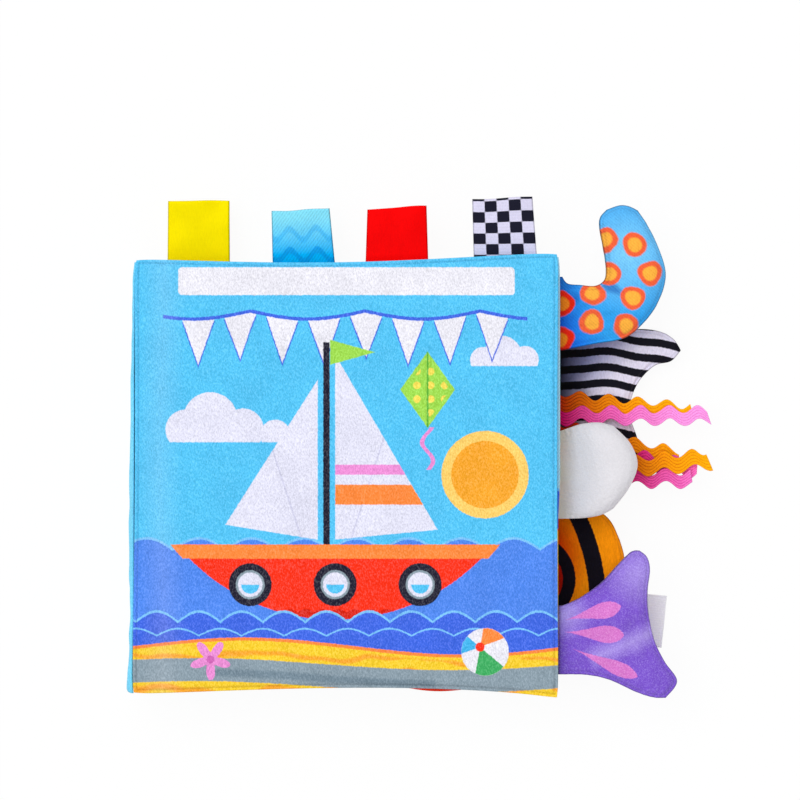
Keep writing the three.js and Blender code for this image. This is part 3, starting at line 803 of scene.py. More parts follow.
# %% Finishes of the filling
FILM_FACET = 9
wadding_look = cloth_material("polyester wadding", plain("#f2f1ec"), fibre=2.2, speckle=0.06, brushed=0.05,
                              roughness=1.0, sheen=0.4, relief=0.8, specular=0.1)
fill_look = cloth_material("polyester fibre fill", plain("#f6f6f4"), fibre=3.0, speckle=0.05, brushed=0.06,
                           roughness=1.0, sheen=0.5, relief=1.0, specular=0.1)
film_look = bpy.data.materials.new("crumpled clear film")
film_look.use_nodes = True
tree = film_look.node_tree
place = node(tree, "TexCoord", out="Object")
facets = node(tree, "TexVoronoi", {"Vector": place, "Scale": 1 / (FILM_FACET * MM)}, "Distance",
              feature="DISTANCE_TO_EDGE")
# Painted shade: the film's colour is darker along the creases between its facets.
tint = node(tree, "MapRange", (facets, 0.0, 0.2, 0.85, 1.0))
wire(tree, node(tree, "HueSaturation", {"Color": srgb("#e4edf2"), "Value": tint}), facets, 0.8, 1 * MM,
     {"Roughness": 0.18, "Transmission Weight": 0.5, "IOR": 1.49})

# %% [markdown]
# ## Making the pages
#
# One loop makes all six pages. Only the outer face of the front cover is seen in full, so its grid is the
# finest.

# %% Six pages
FINE, MEDIUM, COARSE = 190, 110, 56
COVER_RELIEF = 1.0
LEAF_RELIEF = 0.3
FILM_THICKNESS = 0.3
FILM_INSET = 0.055
FILM_CRUMPLE = 0.1
WADDING_FLUFF = 0.1
SINKING_SHARE = 0.6
SIDES = {"front_cover": ("print_cloth", "lining_cloth"), "back_cover": ("lining_cloth", "outer_cloth")}
OUTSIDE = {"print_cloth": (printed_velour, "cover_print"), "outer_cloth": (plain_velour, "spine_cloth")}


def page_face(body, side, x, y, a, b, half):
    """How far a page's outer face lies from its middle: half the thickness plus the relief.

    Only the front cover's top is free to rise. The other faces rest on a neighbour, so they mostly sink.
    """
    if body == "back_cover" and side < 0:
        return np.minimum(half, MIDDLE[body])
    if body != "front_cover" or side < 0:
        relief = page_relief(x, y, a, b, body, LEAF_RELIEF)
        return half + relief - np.abs(relief) * SINKING_SHARE
    return half + swell(x, y) * fullness(a, b) + page_relief(x, y, a, b, body, COVER_RELIEF)


def page_cloth(body, side, a, b):
    """One cloth of a page as two grids of points. side is 1 for the upper cloth and -1 for the lower one."""
    kind = kind_of(body)
    x, y = page_plan(a, b, kind)
    if body == "leaf_3":
        y = y - SAG["depth"] * np.exp(-((a - SAG["at"]) / SAG["width"]) ** 2) * (1 - b) ** SAG["fade"]
    outer = page_face(body, side, x, y, a, b, page_half(a, b, kind))
    heights = sorted((MIDDLE[body] + side * outer, MIDDLE[body] + side * (outer - PAGES[kind]["cloth"])),
                     key=np.mean)
    return stack(x, y, heights[1]), stack(x, y, heights[0])


for body in BODIES:
    kind = kind_of(body)
    size = PAGES[kind]
    parts = SIDES.get(body, ("front_cloth", "back_cloth"))
    for side, part in zip((1, -1), parts):
        cloth_node = body + "_" + part
        count = FINE if part in OUTSIDE else MEDIUM
        a, b = grid(crowded(count), crowded(count))
        made = slab(cloth_node + "_sewn", *page_cloth(body, side, a, b), seam=edge_distance(a, b, kind))
        material, slot = OUTSIDE.get(part) or (page_prints[cloth_node], "page_cloth")
        dress(made, material, slot, [cloth_node], body=body)

    shares = FILM_INSET + (1 - 2 * FILM_INSET) * crowded(COARSE)
    a, b = grid(shares, shares)
    x, y = page_plan(a, b, kind)
    half = page_half(a, b, kind)
    film_low = MIDDLE[body] - page_face(body, -1, x, y, a, b, half) + size["cloth"] + LAYER_GAP
    film_middle = film_low + FILM_THICKNESS / 2 + ripples(x, y, size=11, seed=5, height=FILM_CRUMPLE)
    batt_low = film_low + FILM_THICKNESS + LAYER_GAP
    batt_high = MIDDLE[body] + page_face(body, 1, x, y, a, b, half) - size["cloth"] - LAYER_GAP
    batt_high = batt_high - WADDING_FLUFF * (1 + np.tanh(ripples(x, y, size=7, seed=6)))
    batt = slab(body + "_wadding_batt", stack(x, y, batt_high), stack(x, y, batt_low))
    dress(batt, wadding_look, "wadding", [body + "_wadding"], body=body)
    thin = FILM_THICKNESS / 4
    sheet = slab(body + "_crinkled_film", stack(x, y, film_middle + thin), stack(x, y, film_middle - thin))
    dress(sheet, film_look, "crinkle_film", [body + "_crinkle_film"], body=body)

print("page pieces:", 6 * 4)

# %% [markdown]
# ## The spine cloth
#
# One strip of light blue velour runs down the spine and is sewn to every page. It has to bend wherever the
# book opens, and a bend works across one hinge only. Here it is made in five lengths, each from the seam of
# one page to the seam of the next. The cloth pouts a little at the foot, where it shows past the cover, and
# tucks in behind the cover higher up.

# %% Five lengths of spine cloth
SPINE_GRID = (22, 90)
SPINE_CLOTH = 0.8
SPINE_GAP = 0.15
# Share of the height of the spine from the foot, and how far the cloth pouts there
SPINE_POUT = [(0, 2.2), (0.03, 1.5), (0.06, 0.9), (0.11, 0.4), (0.16, 0.2), (0.21, 0.3), (0.27, 0.7),
              (0.35, 1.2), (0.45, 1.3), (0.6, 1.3), (0.72, 1.2), (0.8, 0.95), (0.9, 0.45), (1, 0.0)]
SPINE_FOOT_HANGS = 1.2
SPINE_FOOT_FADE = 0.02
SPINE_SHORT = 0.004
SPINE_START_DROP = 0.6
SPINE_END_DROP = 1.6
SPINE_BELLY = 0.3
SPINE_OVERLAP = 0.1
SPINE_BEND = (0.5, 2.6)
HINGE_Z = frame["joints"][0]["pos_m"][2] / MM


def spine_length(lower, upper):
    """One length of spine cloth between two pages: x goes from one page's edge to the next's, less a pout.

    The pout is a half sine over the thickness of the book, and a table gives it along the spine. A little
    belly is added between the two seams. At the head the cloth ends below the front cover's seam.
    """
    along = SPINE_SHORT + (1 - 2 * SPINE_SHORT) * crowded(SPINE_GRID[1], crowding=0.5)
    share, b = grid(np.linspace(0, 1, SPINE_GRID[0]), along)
    low_z = MIDDLE[lower] - (SPINE_START_DROP if lower == "back_cover" else 0)
    high_z = MIDDLE[upper] - (SPINE_END_DROP * b if upper == "front_cover" else 0)
    z = low_z + (high_z - low_z) * share
    first, last = (np.array(page_plan(b * 0, b, kind_of(body))) for body in (lower, upper))
    edge_x, edge_y = first + (last - first) * share
    whole_share = (z - MIDDLE["back_cover"]) / (MIDDLE["front_cover"] - MIDDLE["back_cover"])
    pout = np.interp(b, *np.array(SPINE_POUT).T) * np.sin(np.pi * whole_share.clip(0, 1)) ** 0.5
    seed = BODIES.index(lower) + 70
    waviness = ripples(b * 170, z * 0 + MIDDLE[lower], size=14, seed=seed, height=0.12)
    belly = (SPINE_BELLY - waviness) * np.sin(np.pi * share)
    inner_x = edge_x - SPINE_GAP - pout - belly + SPINE_OVERLAP
    edge_y = edge_y - SPINE_FOOT_HANGS * np.exp(-b / SPINE_FOOT_FADE)
    return stack(inner_x, edge_y, z)[:, ::-1], stack(inner_x - SPINE_CLOTH, edge_y, z)[:, ::-1]


for lower, upper in zip(BODIES[:-1], BODIES[1:]):
    made = slab("spine_cloth_" + lower + "_to_" + upper, *spine_length(lower, upper))
    near_hinge, sign = (upper, -1) if MIDDLE[upper] < HINGE_Z else (lower, 1)
    bend = sorted(MIDDLE[near_hinge] + sign * part for part in SPINE_BEND)
    ends = [(SPINE_X * MM, 0, height * MM) for height in bend]
    replaced = [lower + "_spine_strip"] + (["front_cover_spine_strip"] if upper == "front_cover" else [])
    dress(made, plain_velour, "spine_cloth", replaced, between=(lower, upper, *ends))
print("spine hinge height in mm:", round(HINGE_Z, 2))

# %% [markdown]
# ## Ribbon tabs
#
# A tab is one length of ribbon folded in half and caught in the head seam of a leaf. Its section is a long
# hairpin: out along the top, round the fold, back along the bottom. The ribbon is worked out as a path in
# height and depth, and then given its width. Each point also keeps how far along the ribbon it is, so that
# checks and waves are printed along the cloth and go round the fold.

# %% Ribbon shape
TAB_WIDTH = 25.4
RIBBON = 0.45
LOOP_HALF = 0.85
TAB_LEAD = 1.3
TAB_WAVE = 0.35
TAB_CAMBER = 0.5
TAB_END_UNEVEN = 0.18
TAB_ROWS, FOLD_ROWS, TAB_COLUMNS = 110, 14, 30


def ribbon_tab(name, at, length, taper, lean, slant, seed):
    """A ribbon tab over its solid in the frame, with a soft wave over its width and length.

    The hairpin's two runs are straight and its fold is a half circle. Near the seam both runs close together.
    taper is how much narrower the fold is than the seam, lean how far the fold lies to the left, and slant
    how much higher the fold is at its right end.
    """
    straight = length - LOOP_HALF - RIBBON / 2 + TAB_LEAD
    fold = np.pi * LOOP_HALF
    whole = 2 * straight + fold
    folding = straight + np.linspace(0, fold, FOLD_ROWS)
    travelled = np.unique(np.concatenate([np.linspace(0, whole, TAB_ROWS), folding]))
    turn = np.clip((travelled - straight) / LOOP_HALF, 0, np.pi)
    back = np.clip(travelled - straight - fold, 0, None)
    out = np.minimum(travelled, straight) + LOOP_HALF * np.sin(turn) - back - TAB_LEAD
    closing = np.clip((out + TAB_LEAD) / (TAB_LEAD + 3), 0, 1)
    height = LOOP_HALF * np.cos(turn) * (0.3 + 0.7 * np.sin(np.pi / 2 * closing))

    low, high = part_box(name)
    across, travel = grid(np.linspace(-0.5, 0.5, TAB_COLUMNS), travelled)
    wide = across * TAB_WIDTH
    share = np.clip(out / length, 0, 1)
    x = SPINE_X + at + across * (TAB_WIDTH - share * taper) - share * lean
    uneven_end = ripples(wide, travel * 0, size=21, seed=seed + 1, height=TAB_END_UNEVEN) + across * slant
    y = low.y / MM + out + uneven_end * share
    camber = TAB_CAMBER * (2 * across) ** 2
    wave = ripples(wide, travel * 0 + out, size=17, seed=seed, height=TAB_WAVE) - camber
    z = (low.z + high.z) / 2 / MM + height + wave * share
    half_out, half_up = RIBBON / 2 * np.sin(turn), RIBBON / 2 * np.cos(turn)
    uv = np.stack([wide + TAB_WIDTH / 2, travel - TAB_LEAD], axis=-1) * MM
    selvedge = np.minimum((0.5 - np.abs(across)) * TAB_WIDTH, np.abs(travel - whole / 2))
    faces = [stack(x, y + side * half_out, z + side * half_up) for side in (1, -1)]
    return slab(name + "_folded", *faces, uv, seam=selvedge)


# %% [markdown]
# Two of the ribbons are satin, woven so that long threads float on the face, which gives a soft shine. Two
# are printed: one with black and white checks, one with blue waves. Satin takes a low roughness, and the
# fine cords across a ribbon are a rib in the bump.

# %% Ribbon finishes and tabs
CHECK_COLUMNS = 5
CHECK_ROW = 4.4


@printed("#dad6ef", follows_cloth=True, spread=0.12)
def check_print(art):
    """Checks: where the signs of two square waves agree, the ribbon is black."""
    over_columns = (art.x * (math.pi * CHECK_COLUMNS / TAB_WIDTH)).math("SINE")
    over_rows = ((art.y - 0.4) * (math.pi / CHECK_ROW)).math("SINE")
    art.lay("#1b1b2b", over_columns * over_rows * 6.0, softness=0.25)


@printed("#86e2fa", follows_cloth=True, spread=0.3)
def wave_print(art):
    """A pale to deep blue ground with two broad waves over it, each a cosine of the place across."""
    art.lay("#00b6ff", art.y - 12, softness=7.5)
    wave = ((art.x - 7.4) * (2 * math.pi / 11.4)).math("COSINE") * 2.3
    art.lay("#12a4ee", abs(art.y - 12.8 - wave) - 1.35, softness=0.5, strength=0.4)
    art.lay("#0698e8", abs(art.y - 4.05 - wave) - 1.45, softness=0.4, strength=0.75)


satin = functools.partial(cloth_material, fibre=0.35, lean=0, stretch=0.15, roughness=0.6, sheen=0.0,
                          relief=0.15, specular=0.02, rib=(0.5, 90, 0.12), rim=0.35)
red_satin = satin("red satin ribbon", plain("#fb0406"), speckle=0.05)
yellow_satin = satin("yellow satin ribbon", plain("#f9e400"), speckle=0.04, brushed=0.03)
check_ribbon = cloth_material("printed check ribbon", check_print, fibre=0.4, speckle=0.07, brushed=0.02,
                              roughness=0.7, sheen=0.0, relief=0.25, rib=(0.6, 90, 0.3), rim=0.3)
wave_ribbon = cloth_material("printed wave ribbon", wave_print, fibre=0.4, lean=35, stretch=0.3,
                             speckle=0.09, roughness=0.6, sheen=0.0, relief=0.25, specular=0.02,
                             rib=(1.1, 35, 0.35), rim=0.5)
# Place from the spine, length, taper, lean and slant of each tab in millimetres
TABS = {
    "ribbon_tab_check": ((148.4, 23.4, 1.2, 1.2, 0.9), check_ribbon, "check_ribbon", "leaf_1"),
    "ribbon_tab_red": ((104.7, 22.0, 1.4, 0.0, 1.4), red_satin, "red_ribbon", "leaf_2"),
    "ribbon_tab_wave": ((66.8, 22.8, 1.8, 1.4, 1.6), wave_ribbon, "wave_ribbon", "leaf_3"),
    "ribbon_tab_yellow": ((23.5, 25.7, 0.4, 0.0, 0.1), yellow_satin, "yellow_ribbon", "leaf_4"),
}
for seed, (name, (measures, material, slot, body)) in enumerate(TABS.items()):
    made = ribbon_tab(name, *measures, 300 + 10 * seed)
    dress(made, material, slot, [name], body=body)
print("ribbon tabs:", len(TABS))

# %% [markdown]
# ## Stuffed tails
#
# Each tail is two cut pieces of cloth sewn along their outline, turned and stuffed. The outline is three
# smooth curves: a lower edge, an upper edge and a tip, with the straight seam at the root as the fourth
# side. A patch fills them in: at a share a from the root and b across, it adds the points of the two long
# edges and of root and tip, each by its share, and takes away the corners that were counted twice. The
# thickness is a half ellipse across and swells from the root to past the middle. At the edge there is a
# narrow lip where the seam lies, and the seam draws small puckers into the cloth.

# %% Tail outlines
# Lower edge, upper edge and tip of each tail as shares of its reach and span. The edges run from the root to
# the tip, and the tip runs from the end of the lower edge to the end of the upper one.
SPOTTED_SHARES = (
    [(0, 0.01), (0.29, 0.05), (0.59, 0.09), (0.77, 0.185), (0.92, 0.33), (1, 0.52), (0.93, 0.71),
     (0.82, 0.87), (0.73, 0.965)],
    [(0, 0.51), (0.05, 0.465), (0.17, 0.455), (0.32, 0.45), (0.41, 0.495), (0.42, 0.59), (0.39, 0.73),
     (0.36, 0.85), (0.37, 0.92), (0.43, 0.97)],
    [(0.73, 0.965), (0.64, 0.995), (0.55, 1), (0.43, 0.97)],
)
FIN_SHARES = (
    [(0, 0.12), (0.25, 0.06), (0.5, 0.01), (0.69, 0)],
    [(0, 0.91), (0.22, 0.93), (0.43, 0.965), (0.65, 1), (0.83, 0.98), (0.94, 0.92), (1, 0.83)],
    [(0.69, 0), (0.64, 0.15), (0.58, 0.33), (0.6, 0.46), (0.67, 0.6), (0.79, 0.71), (0.92, 0.745), (1, 0.83)],
)
BALL_SHARES = (
    [(0, 0.01), (0.29, 0.02), (0.52, 0.055), (0.68, 0.12)],
    [(0, 0.915), (0.26, 0.985), (0.5, 1), (0.68, 0.965)],
    [(0.68, 0.12), (0.89, 0.335), (1, 0.57), (0.9, 0.79), (0.68, 0.965)],
)
BANDED_SHARES = (
    [(0, 0), (0.22, 0.04), (0.56, 0.03), (0.88, 0.09)],
    [(0, 0.982), (0.32, 0.97), (0.64, 0.885), (0.81, 0.79), (0.93, 0.64)],
    [(0.88, 0.09), (1, 0.3), (1, 0.49), (0.93, 0.64)],
)
FISH_SHARES = (
    [(0, 0.165), (0.21, 0.16), (0.41, 0.125), (0.64, 0.042), (0.79, 0.004), (0.9, 0)],
    [(0, 0.63), (0.15, 0.68), (0.34, 0.785), (0.48, 0.9), (0.6, 0.99), (0.675, 1)],
    [(0.9, 0), (1, 0.115), (0.89, 0.25), (0.8, 0.4), (0.75, 0.59), (0.745, 0.73), (0.765, 0.87),
     (0.74, 0.955), (0.675, 1)],
)


def smooth_curve(shares, reach, span):
    """A function from a share of a curve's length to its point, for a curve through the given points.

    Between two points p and q with neighbours o and r, the curve is the cubic that leaves p along (q - o) / 2
    and reaches q along (r - p) / 2. Its length is measured on 400 short chords.
    """
    points = np.array(shares, float) * (reach, span)
    padded = np.concatenate([points[:1], points, points[-1:]])
    walk = np.linspace(0, len(points) - 1, 401)
    piece = np.minimum(walk.astype(int), len(points) - 2)
    t = (walk - piece)[:, None]
    before, start, end, after = (padded[piece + shift] for shift in range(4))
    leave, arrive = (end - before) / 2, (after - start) / 2
    line = ((2 * start - 2 * end + leave + arrive) * t ** 3
            + (3 * end - 3 * start - 2 * leave - arrive) * t ** 2 + leave * t + start)
    length = np.concatenate([[0], np.cumsum(np.linalg.norm(np.diff(line, axis=0), axis=1))])
    places = length / length[-1]
    return lambda share: np.stack([np.interp(share, places, line[:, axis]) for axis in (0, 1)], -1)


def tail_plan(a, b, shares, reach, span):
    """The patch between a tail's edges. A share a below 0 leads straight back into the seam."""
    lower, upper, tip = (smooth_curve(side, reach, span) for side in shares)
    inside = np.clip(a, 0, 1)
    first, second = lower(0.0), upper(0.0)
    a1, b1 = inside[..., None], b[..., None]
    root = first + (second - first) * b1
    edges = lower(inside) * (1 - b1) + upper(inside) * b1 + root * (1 - a1) + tip(b) * a1
    corners = (first * (1 - a1) + lower(1.0) * a1) * (1 - b1) + (second * (1 - a1) + upper(1.0) * a1) * b1
    plan = edges - corners
    return plan[..., 0] + np.minimum(a, 0) * reach, plan[..., 1]


# %% [markdown]
# A tail's measures are those of its solid in the frame: reach, span, how far its foot is above the page's
# foot corner, how plump it is, and how far its tip hangs or rises. Three of the tails lift on a hinge line
# of their own, just outside the page.

# %% Tail measures and maker
TAILS = {
    "spotted_tail": dict(shares=SPOTTED_SHARES, reach=42, span=59.2, foot=137.4, plump=13, lift=-4.0,
                         leaf="leaf_1", own_body=True, uneven=1.0),
    "fish_tail": dict(shares=FISH_SHARES, reach=46.6, span=59.6, foot=-2.6, plump=12, lift=-4.0,
                      leaf="leaf_1", own_body=True, uneven=1.0),
    "ball_tail": dict(shares=BALL_SHARES, reach=30.4, span=39.4, foot=69.4, plump=17, lift=6.4,
                      leaf="leaf_2", own_body=True, uneven=0.35),
    "striped_fin": dict(shares=FIN_SHARES, reach=50.4, span=51.6, foot=95.4, plump=7.4, lift=-3.0,
                        leaf="leaf_4", own_body=False, uneven=1.0),
    "banded_tail": dict(shares=BANDED_SHARES, reach=27, span=46.4, foot=31, plump=11, lift=-1.0,
                        leaf="leaf_4", own_body=False, uneven=0.8),
}
TAIL_CLOTH = 0.55
PEAK_SHARE = 0.6
ROOT_EASE = 1.4
TIP_ROUNDNESS = 2.4
ROOT_LEAD = 2.6
ROOT_LEAD_HALF = 0.12
ROOT_HALF = 0.7
BEND_FROM, BEND_TO = -1.0, 3.5
TAIL_SWELL_AREA = 1.06
TAIL_GRID = (120, 84)
STUFFING_GRID = (60, 40)
STUFFED = np.s_[16:56, 5:35]
STUFFING_ROOM = TAIL_CLOTH + LAYER_GAP + 0.3
STUFFING_RELIEF = 1.15
THINNEST = 0.06
THINNEST_FILL = 0.1
GATHERS = dict(height=0.4, fade=9, folds=6)
TAIL_GROOVE = dict(at=1.3, width=0.5, depth=0.35)


def tail_fullness(share):
    """Slow at the root, full at six tenths of the length, round at the tip."""
    rising = np.sin(np.pi / 2 * (np.clip(share, 0, PEAK_SHARE) / PEAK_SHARE) ** ROOT_EASE)
    falling = 1 - (np.clip(share - PEAK_SHARE, 0, 1) / (1 - PEAK_SHARE)) ** TIP_ROUNDNESS
    return np.where(share < PEAK_SHARE, rising, np.sqrt(np.clip(falling, 0, 1)))


def tail_grid(name, rows, columns):
    """Shares, plan in the frame's millimetres, half thickness and height of the middle of a tail.

    The first rows lead back between the cloths of the page, and thin out as they go.
    """
    tail = TAILS[name]
    lead = np.linspace(-ROOT_LEAD / tail["reach"], 0, 5)[:-1]
    along = np.concatenate([lead, np.sin(np.pi / 2 * np.linspace(0, 1, rows))])
    a, b = grid(along, even_arc(columns))
    x, y = tail_plan(a, b, tail["shares"], tail["reach"], tail["span"])
    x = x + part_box(name + "_front_cloth")[0].x / MM
    y = y + FOOT_Y + tail["foot"]
    seam = TAIL_CLOTH + LAYER_GAP / 2
    half = seam + (tail["plump"] / 2 - seam) * tail_fullness(a) * rounded(b)
    thinning = np.clip(1 + a * tail["reach"] / ROOT_LEAD, 0, 1)
    half = np.where(a < 0, ROOT_LEAD_HALF + (ROOT_HALF - ROOT_LEAD_HALF) * thinning, half)
    middle = MIDDLE[tail["leaf"]] + tail["lift"] * np.sin(np.pi / 2 * np.clip(a, 0, 1))
    return a, b, x, y, half, middle


def tail_edge(x, y):
    """Millimetres from each point of a tail's grid to the nearest point of its sewn outline, seen in plan."""
    outline_x, outline_y = (np.concatenate([way[:, 0], way[:, -1], way[-1]]) for way in (x, y))
    return np.hypot(x[..., None] - outline_x, y[..., None] - outline_y).min(-1)


def tail_relief(name, a, b, x, y, side, folds):
    """Gathers at the root, puckers along the seam, a groove inside the lip, and the tail's own creases."""
    tail = TAILS[name]
    seed = 500 + 20 * list(TAILS).index(name) + (5 if side < 0 else 0)
    edge = tail_edge(x, y)
    distance = a * tail["reach"]
    outside = np.clip(distance / 3, 0, 1)
    turns = 2 * np.pi * b * GATHERS["folds"] + 1.5 * np.sin(9 * b + seed)
    gathers = GATHERS["height"] * np.exp(-distance / GATHERS["fade"]) * np.sin(turns)
    drawn = puckers(edge, distance * 1.3 + b * 4, spacing=5.5, depth=0.34, reach=3.2, seed=seed)
    broad = ripples(x, y, size=24, seed=seed + 1, height=0.3)
    broad = broad + ripples(x, y, size=9, seed=seed + 2, height=0.12)
    groove = -TAIL_GROOVE["depth"] * np.exp(-((edge - TAIL_GROOVE["at"]) / TAIL_GROOVE["width"]) ** 2)
    relief = ((gathers + broad) * rounded(b) + drawn + groove) * outside * tail["uneven"]
    if side > 0:
        relief = relief + sum(crease(x, y, *fold) for fold in folds) * rounded(b) * outside
    return relief


def plan_area(x, y):
    """Area of a grid seen from above, in square metres: half the cross product of each square's diagonals."""
    first = x[1:, 1:] - x[:-1, :-1], y[1:, 1:] - y[:-1, :-1]
    second = x[:-1, 1:] - x[1:, :-1], y[:-1, 1:] - y[1:, :-1]
    return float(np.abs(first[0] * second[1] - first[1] * second[0]).sum() / 2) * MM * MM


def make_tail(name, material, slot, folds=(), fuzz=0.0):
    """The two cloths and the fill of one tail."""
    tail = TAILS[name]
    body = name if tail["own_body"] else tail["leaf"]
    hinge_x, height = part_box(name + "_front_cloth")[0].x, MIDDLE[tail["leaf"]] * MM
    bend = [(hinge_x + off * MM, 0, height) for off in (BEND_FROM, BEND_TO)]
    between = (tail["leaf"], name, *bend) if tail["own_body"] else None
    a, b, x, y, half, middle = tail_grid(name, *TAIL_GRID)
    flat = (tail["reach"] * MM, tail["span"] * MM)
    area = min(plan_area(x, y) * TAIL_SWELL_AREA, flat[0] * flat[1])
    tufts = ripples(x, y, size=2.6, seed=901, height=0.6) + ripples(x, y, size=1.7, seed=902, height=0.4)
    for side, part in ((1, "front_cloth"), (-1, "back_cloth")):
        relief = tail_relief(name, a, b, x, y, side, folds)
        outer = half + relief + fuzz * tufts * np.clip(a * tail["reach"] / 3, 0, 1)
        inner = np.maximum(outer - TAIL_CLOTH, THINNEST)
        faces = stack(x, y, middle + side * outer), stack(x, y, middle + side * inner)
        made = slab(name + "_" + part + "_sewn", *faces[::side], uv=np.stack([x, y], axis=-1) * MM,
                    seam=tail_edge(x, y))
        dress(made, material, slot, [name + "_" + part], body=body, between=between)
    a, b, x, y, half, middle = tail_grid(name, *STUFFING_GRID)
    reliefs = [tail_relief(name, a, b, x, y, side, folds) * STUFFING_RELIEF for side in (1, -1)]
    above, below = (np.maximum(half + relief - STUFFING_ROOM, THINNEST_FILL) for relief in reliefs)
    faces = [stack(x, y, z)[STUFFED] for z in (middle + above, middle - below)]
    stuffing = slab(name + "_stuffing", *faces)
    dress(stuffing, fill_look, "fibre_fill", [name + "_fill"], body=body)


# %% [markdown]
# The tails' cloths are printed too. The spots are two discs each, the bands are rings about a point beside
# the tail, the stripes bend down on both sides of a soft peak, and the drops are lines whose radius grows
# and closes. All of these places are in millimetres from the middle of the book. They are read from each
# tail's own UV map, which is its plan at rest, so the print stays on the cloth when a tail is lifted.

# %% Tail prints
SPOT_RADIUS = 5.0
SPOT_INNER_RADIUS = 2.9
SPOT_UNEVEN = 2.4
SHADED_SPOTS_END = 63.5
SPOT_PLACES = [(74.6, 84.2), (87.0, 81.8), (76.0, 70.2), (93.0, 70.6), (70.0, 62.6), (85.6, 60.8),
               (57.2, 58.2), (69.2, 51.0), (83.2, 49.0), (57.2, 44.2)]
STRIPE_PERIOD = 6.5
STRIPE_AT = 39.4
STRIPE_PEAK = 72.6
STRIPE_SLOPE = 0.17
STRIPE_ROUND = 6.0
DROPS = [((58.8, -69.2), (81.0, -63.6), 3.3), ((58.4, -74.1), (82.2, -75.2), 3.5),
         ((61.8, -80.8), (87.8, -92.2), 2.9)]
BLACK = "#15121a"
HIGHLIGHT_LILAC = "#c3b0f8"


@printed("#30a2ee", follows_cloth=True)
def spotted_print(art):
    """Orange spots with a red rim on blue, with a painted highlight over the smooth end, and painted shade at
    the root and in a crease.
    """
    # Painted highlight: paler blue over the hook at the end of the tail.
    art.lay("#86d4fc", art.away(84, 79) - 13, softness=13.0, strength=0.85)
    # Painted shade: deeper blue at the root, and darker tints in a crease and at the upper corner of the
    # root.
    art.lay("#045ade", art.x - 63 + (art.y - 56) * 0.35, softness=9.0, strength=0.95)
    art.shade("#2f6cb4", art.drop((83.0, 61.4), (74.0, 66.6), 2.2), softness=1.2, strength=0.6)
    art.shade("#4a3c96", art.away(62.8, 60.6) - 0.5, softness=2.6, strength=0.75)
    uneven = art.field("TexNoise", {"Vector": art.point, "Scale": 0.16, "Detail": 0.0})
    nearest = functools.reduce(operator.or_, [art.away(*place) for place in SPOT_PLACES])
    nearest = nearest + (uneven - 0.5) * SPOT_UNEVEN
    rim, inner, root = nearest - SPOT_RADIUS, nearest - SPOT_INNER_RADIUS, art.x - SHADED_SPOTS_END
    # Spots beside the root are printed again in darker copies of their colours: painted shade.
    for ink, shape, softness in (("#f2623a", rim, 0.35), ("#fbb040", inner, 0.4),
                                 ("#e6260e", rim & root, 0.35), ("#ee8a1c", inner & root, 0.4)):
        art.lay(ink, shape, softness)
    # Painted shadow of the cover's edge over the ground and the spots by the root.
    art.shade("#cf7a78", art.x - 60, softness=5.0, strength=0.45)


@printed("#e3def2", follows_cloth=True)
def fin_print(art):
    """Black and pale stripes of one width. They follow the root of distance squared plus a round squared,
    so each is a straight fall on both sides of a soft peak."""
    off = art.x - STRIPE_PEAK
    fall = (off * off + STRIPE_ROUND ** 2).math("SQRT") * STRIPE_SLOPE
    height = art.y + fall - STRIPE_AT - STRIPE_ROUND * STRIPE_SLOPE + (art.x * 0.3).math("SINE") * 0.35
    art.lay("#100f1a", height.math("PINGPONG", STRIPE_PERIOD / 2) - STRIPE_PERIOD / 4)
    # Painted shade: the root is darkened nearly to black, and the upper corner beside it is shaded blue-grey
    # where the spotted tail lies over it.
    art.shade("#15172a", art.x - 64.5 - (art.y - 30) * 0.12, softness=7.0, strength=0.98)
    art.shade("#5f74b8", art.x - 72 - (art.y - 30) * 0.9, softness=9.0, strength=0.7)


@printed("#f8920c", follows_cloth=True)
def banded_print(art):
    """Black rings on orange, with a dark red middle beside the root, and painted shade that reddens the
    orange round the root.
    """
    # Painted shade: the orange deepens towards red round the root, where the pages above shade it.
    art.shade("#e2641e", art.away(45.1, -44) - 19, softness=7.0)
    art.lay(BLACK, abs(art.away(-10, -64) - 82.8) - 3.4)
    art.lay(BLACK, art.away(45.1, -53.9) - 18.7)
    art.lay("#b01a06", art.away(45.1, -53.9) - 13.5)


@printed("#7c54cf", follows_cloth=True)
def fish_print(art):
    """Three pink drops on purple, with painted highlights on one fluke, by the root and along a fold, and a
    painted shadow at the root.
    """
    # Painted highlights: the pile is drawn paler on one fluke, at the upper corner by the root and along a
    # fold.
    streak = (abs(art.beyond((72.5, -83.2), (94.6, -74.0))) - 1.0) | (art.away(86, -78) - 1.5)
    for shape, softness, strength in ((art.away(88, -50.5) - 3, 12.0, 0.85),
                                      (art.away(59, -67) - 4, 7.0, 0.85),
                                      (streak & (art.away(84, -78) - 14), 4.5, 0.9)):
        art.lay(HIGHLIGHT_LILAC, shape, softness, strength)
    for drop in DROPS:
        art.lay("#df79cd", art.drop(*drop), strength=0.92)
    # Painted shadow: a dark band right at the root, where the cover's edge shades the seam.
    art.shade("#2c1c58", art.x - 56.3, softness=0.6, strength=0.85)


# Printed tricot is a fine slanting knit with a soft sheen.
TRICOT = dict(lean=55, stretch=0.35, speckle=0.1, brushed=0.05, roughness=0.7, specular=0.06, rim=0.45,
              stitch=0.12)


def tail_knit(name, paint, **changes):
    """Printed tricot, with some of its values changed."""
    return cloth_material(name, paint, **{**TRICOT, **changes})


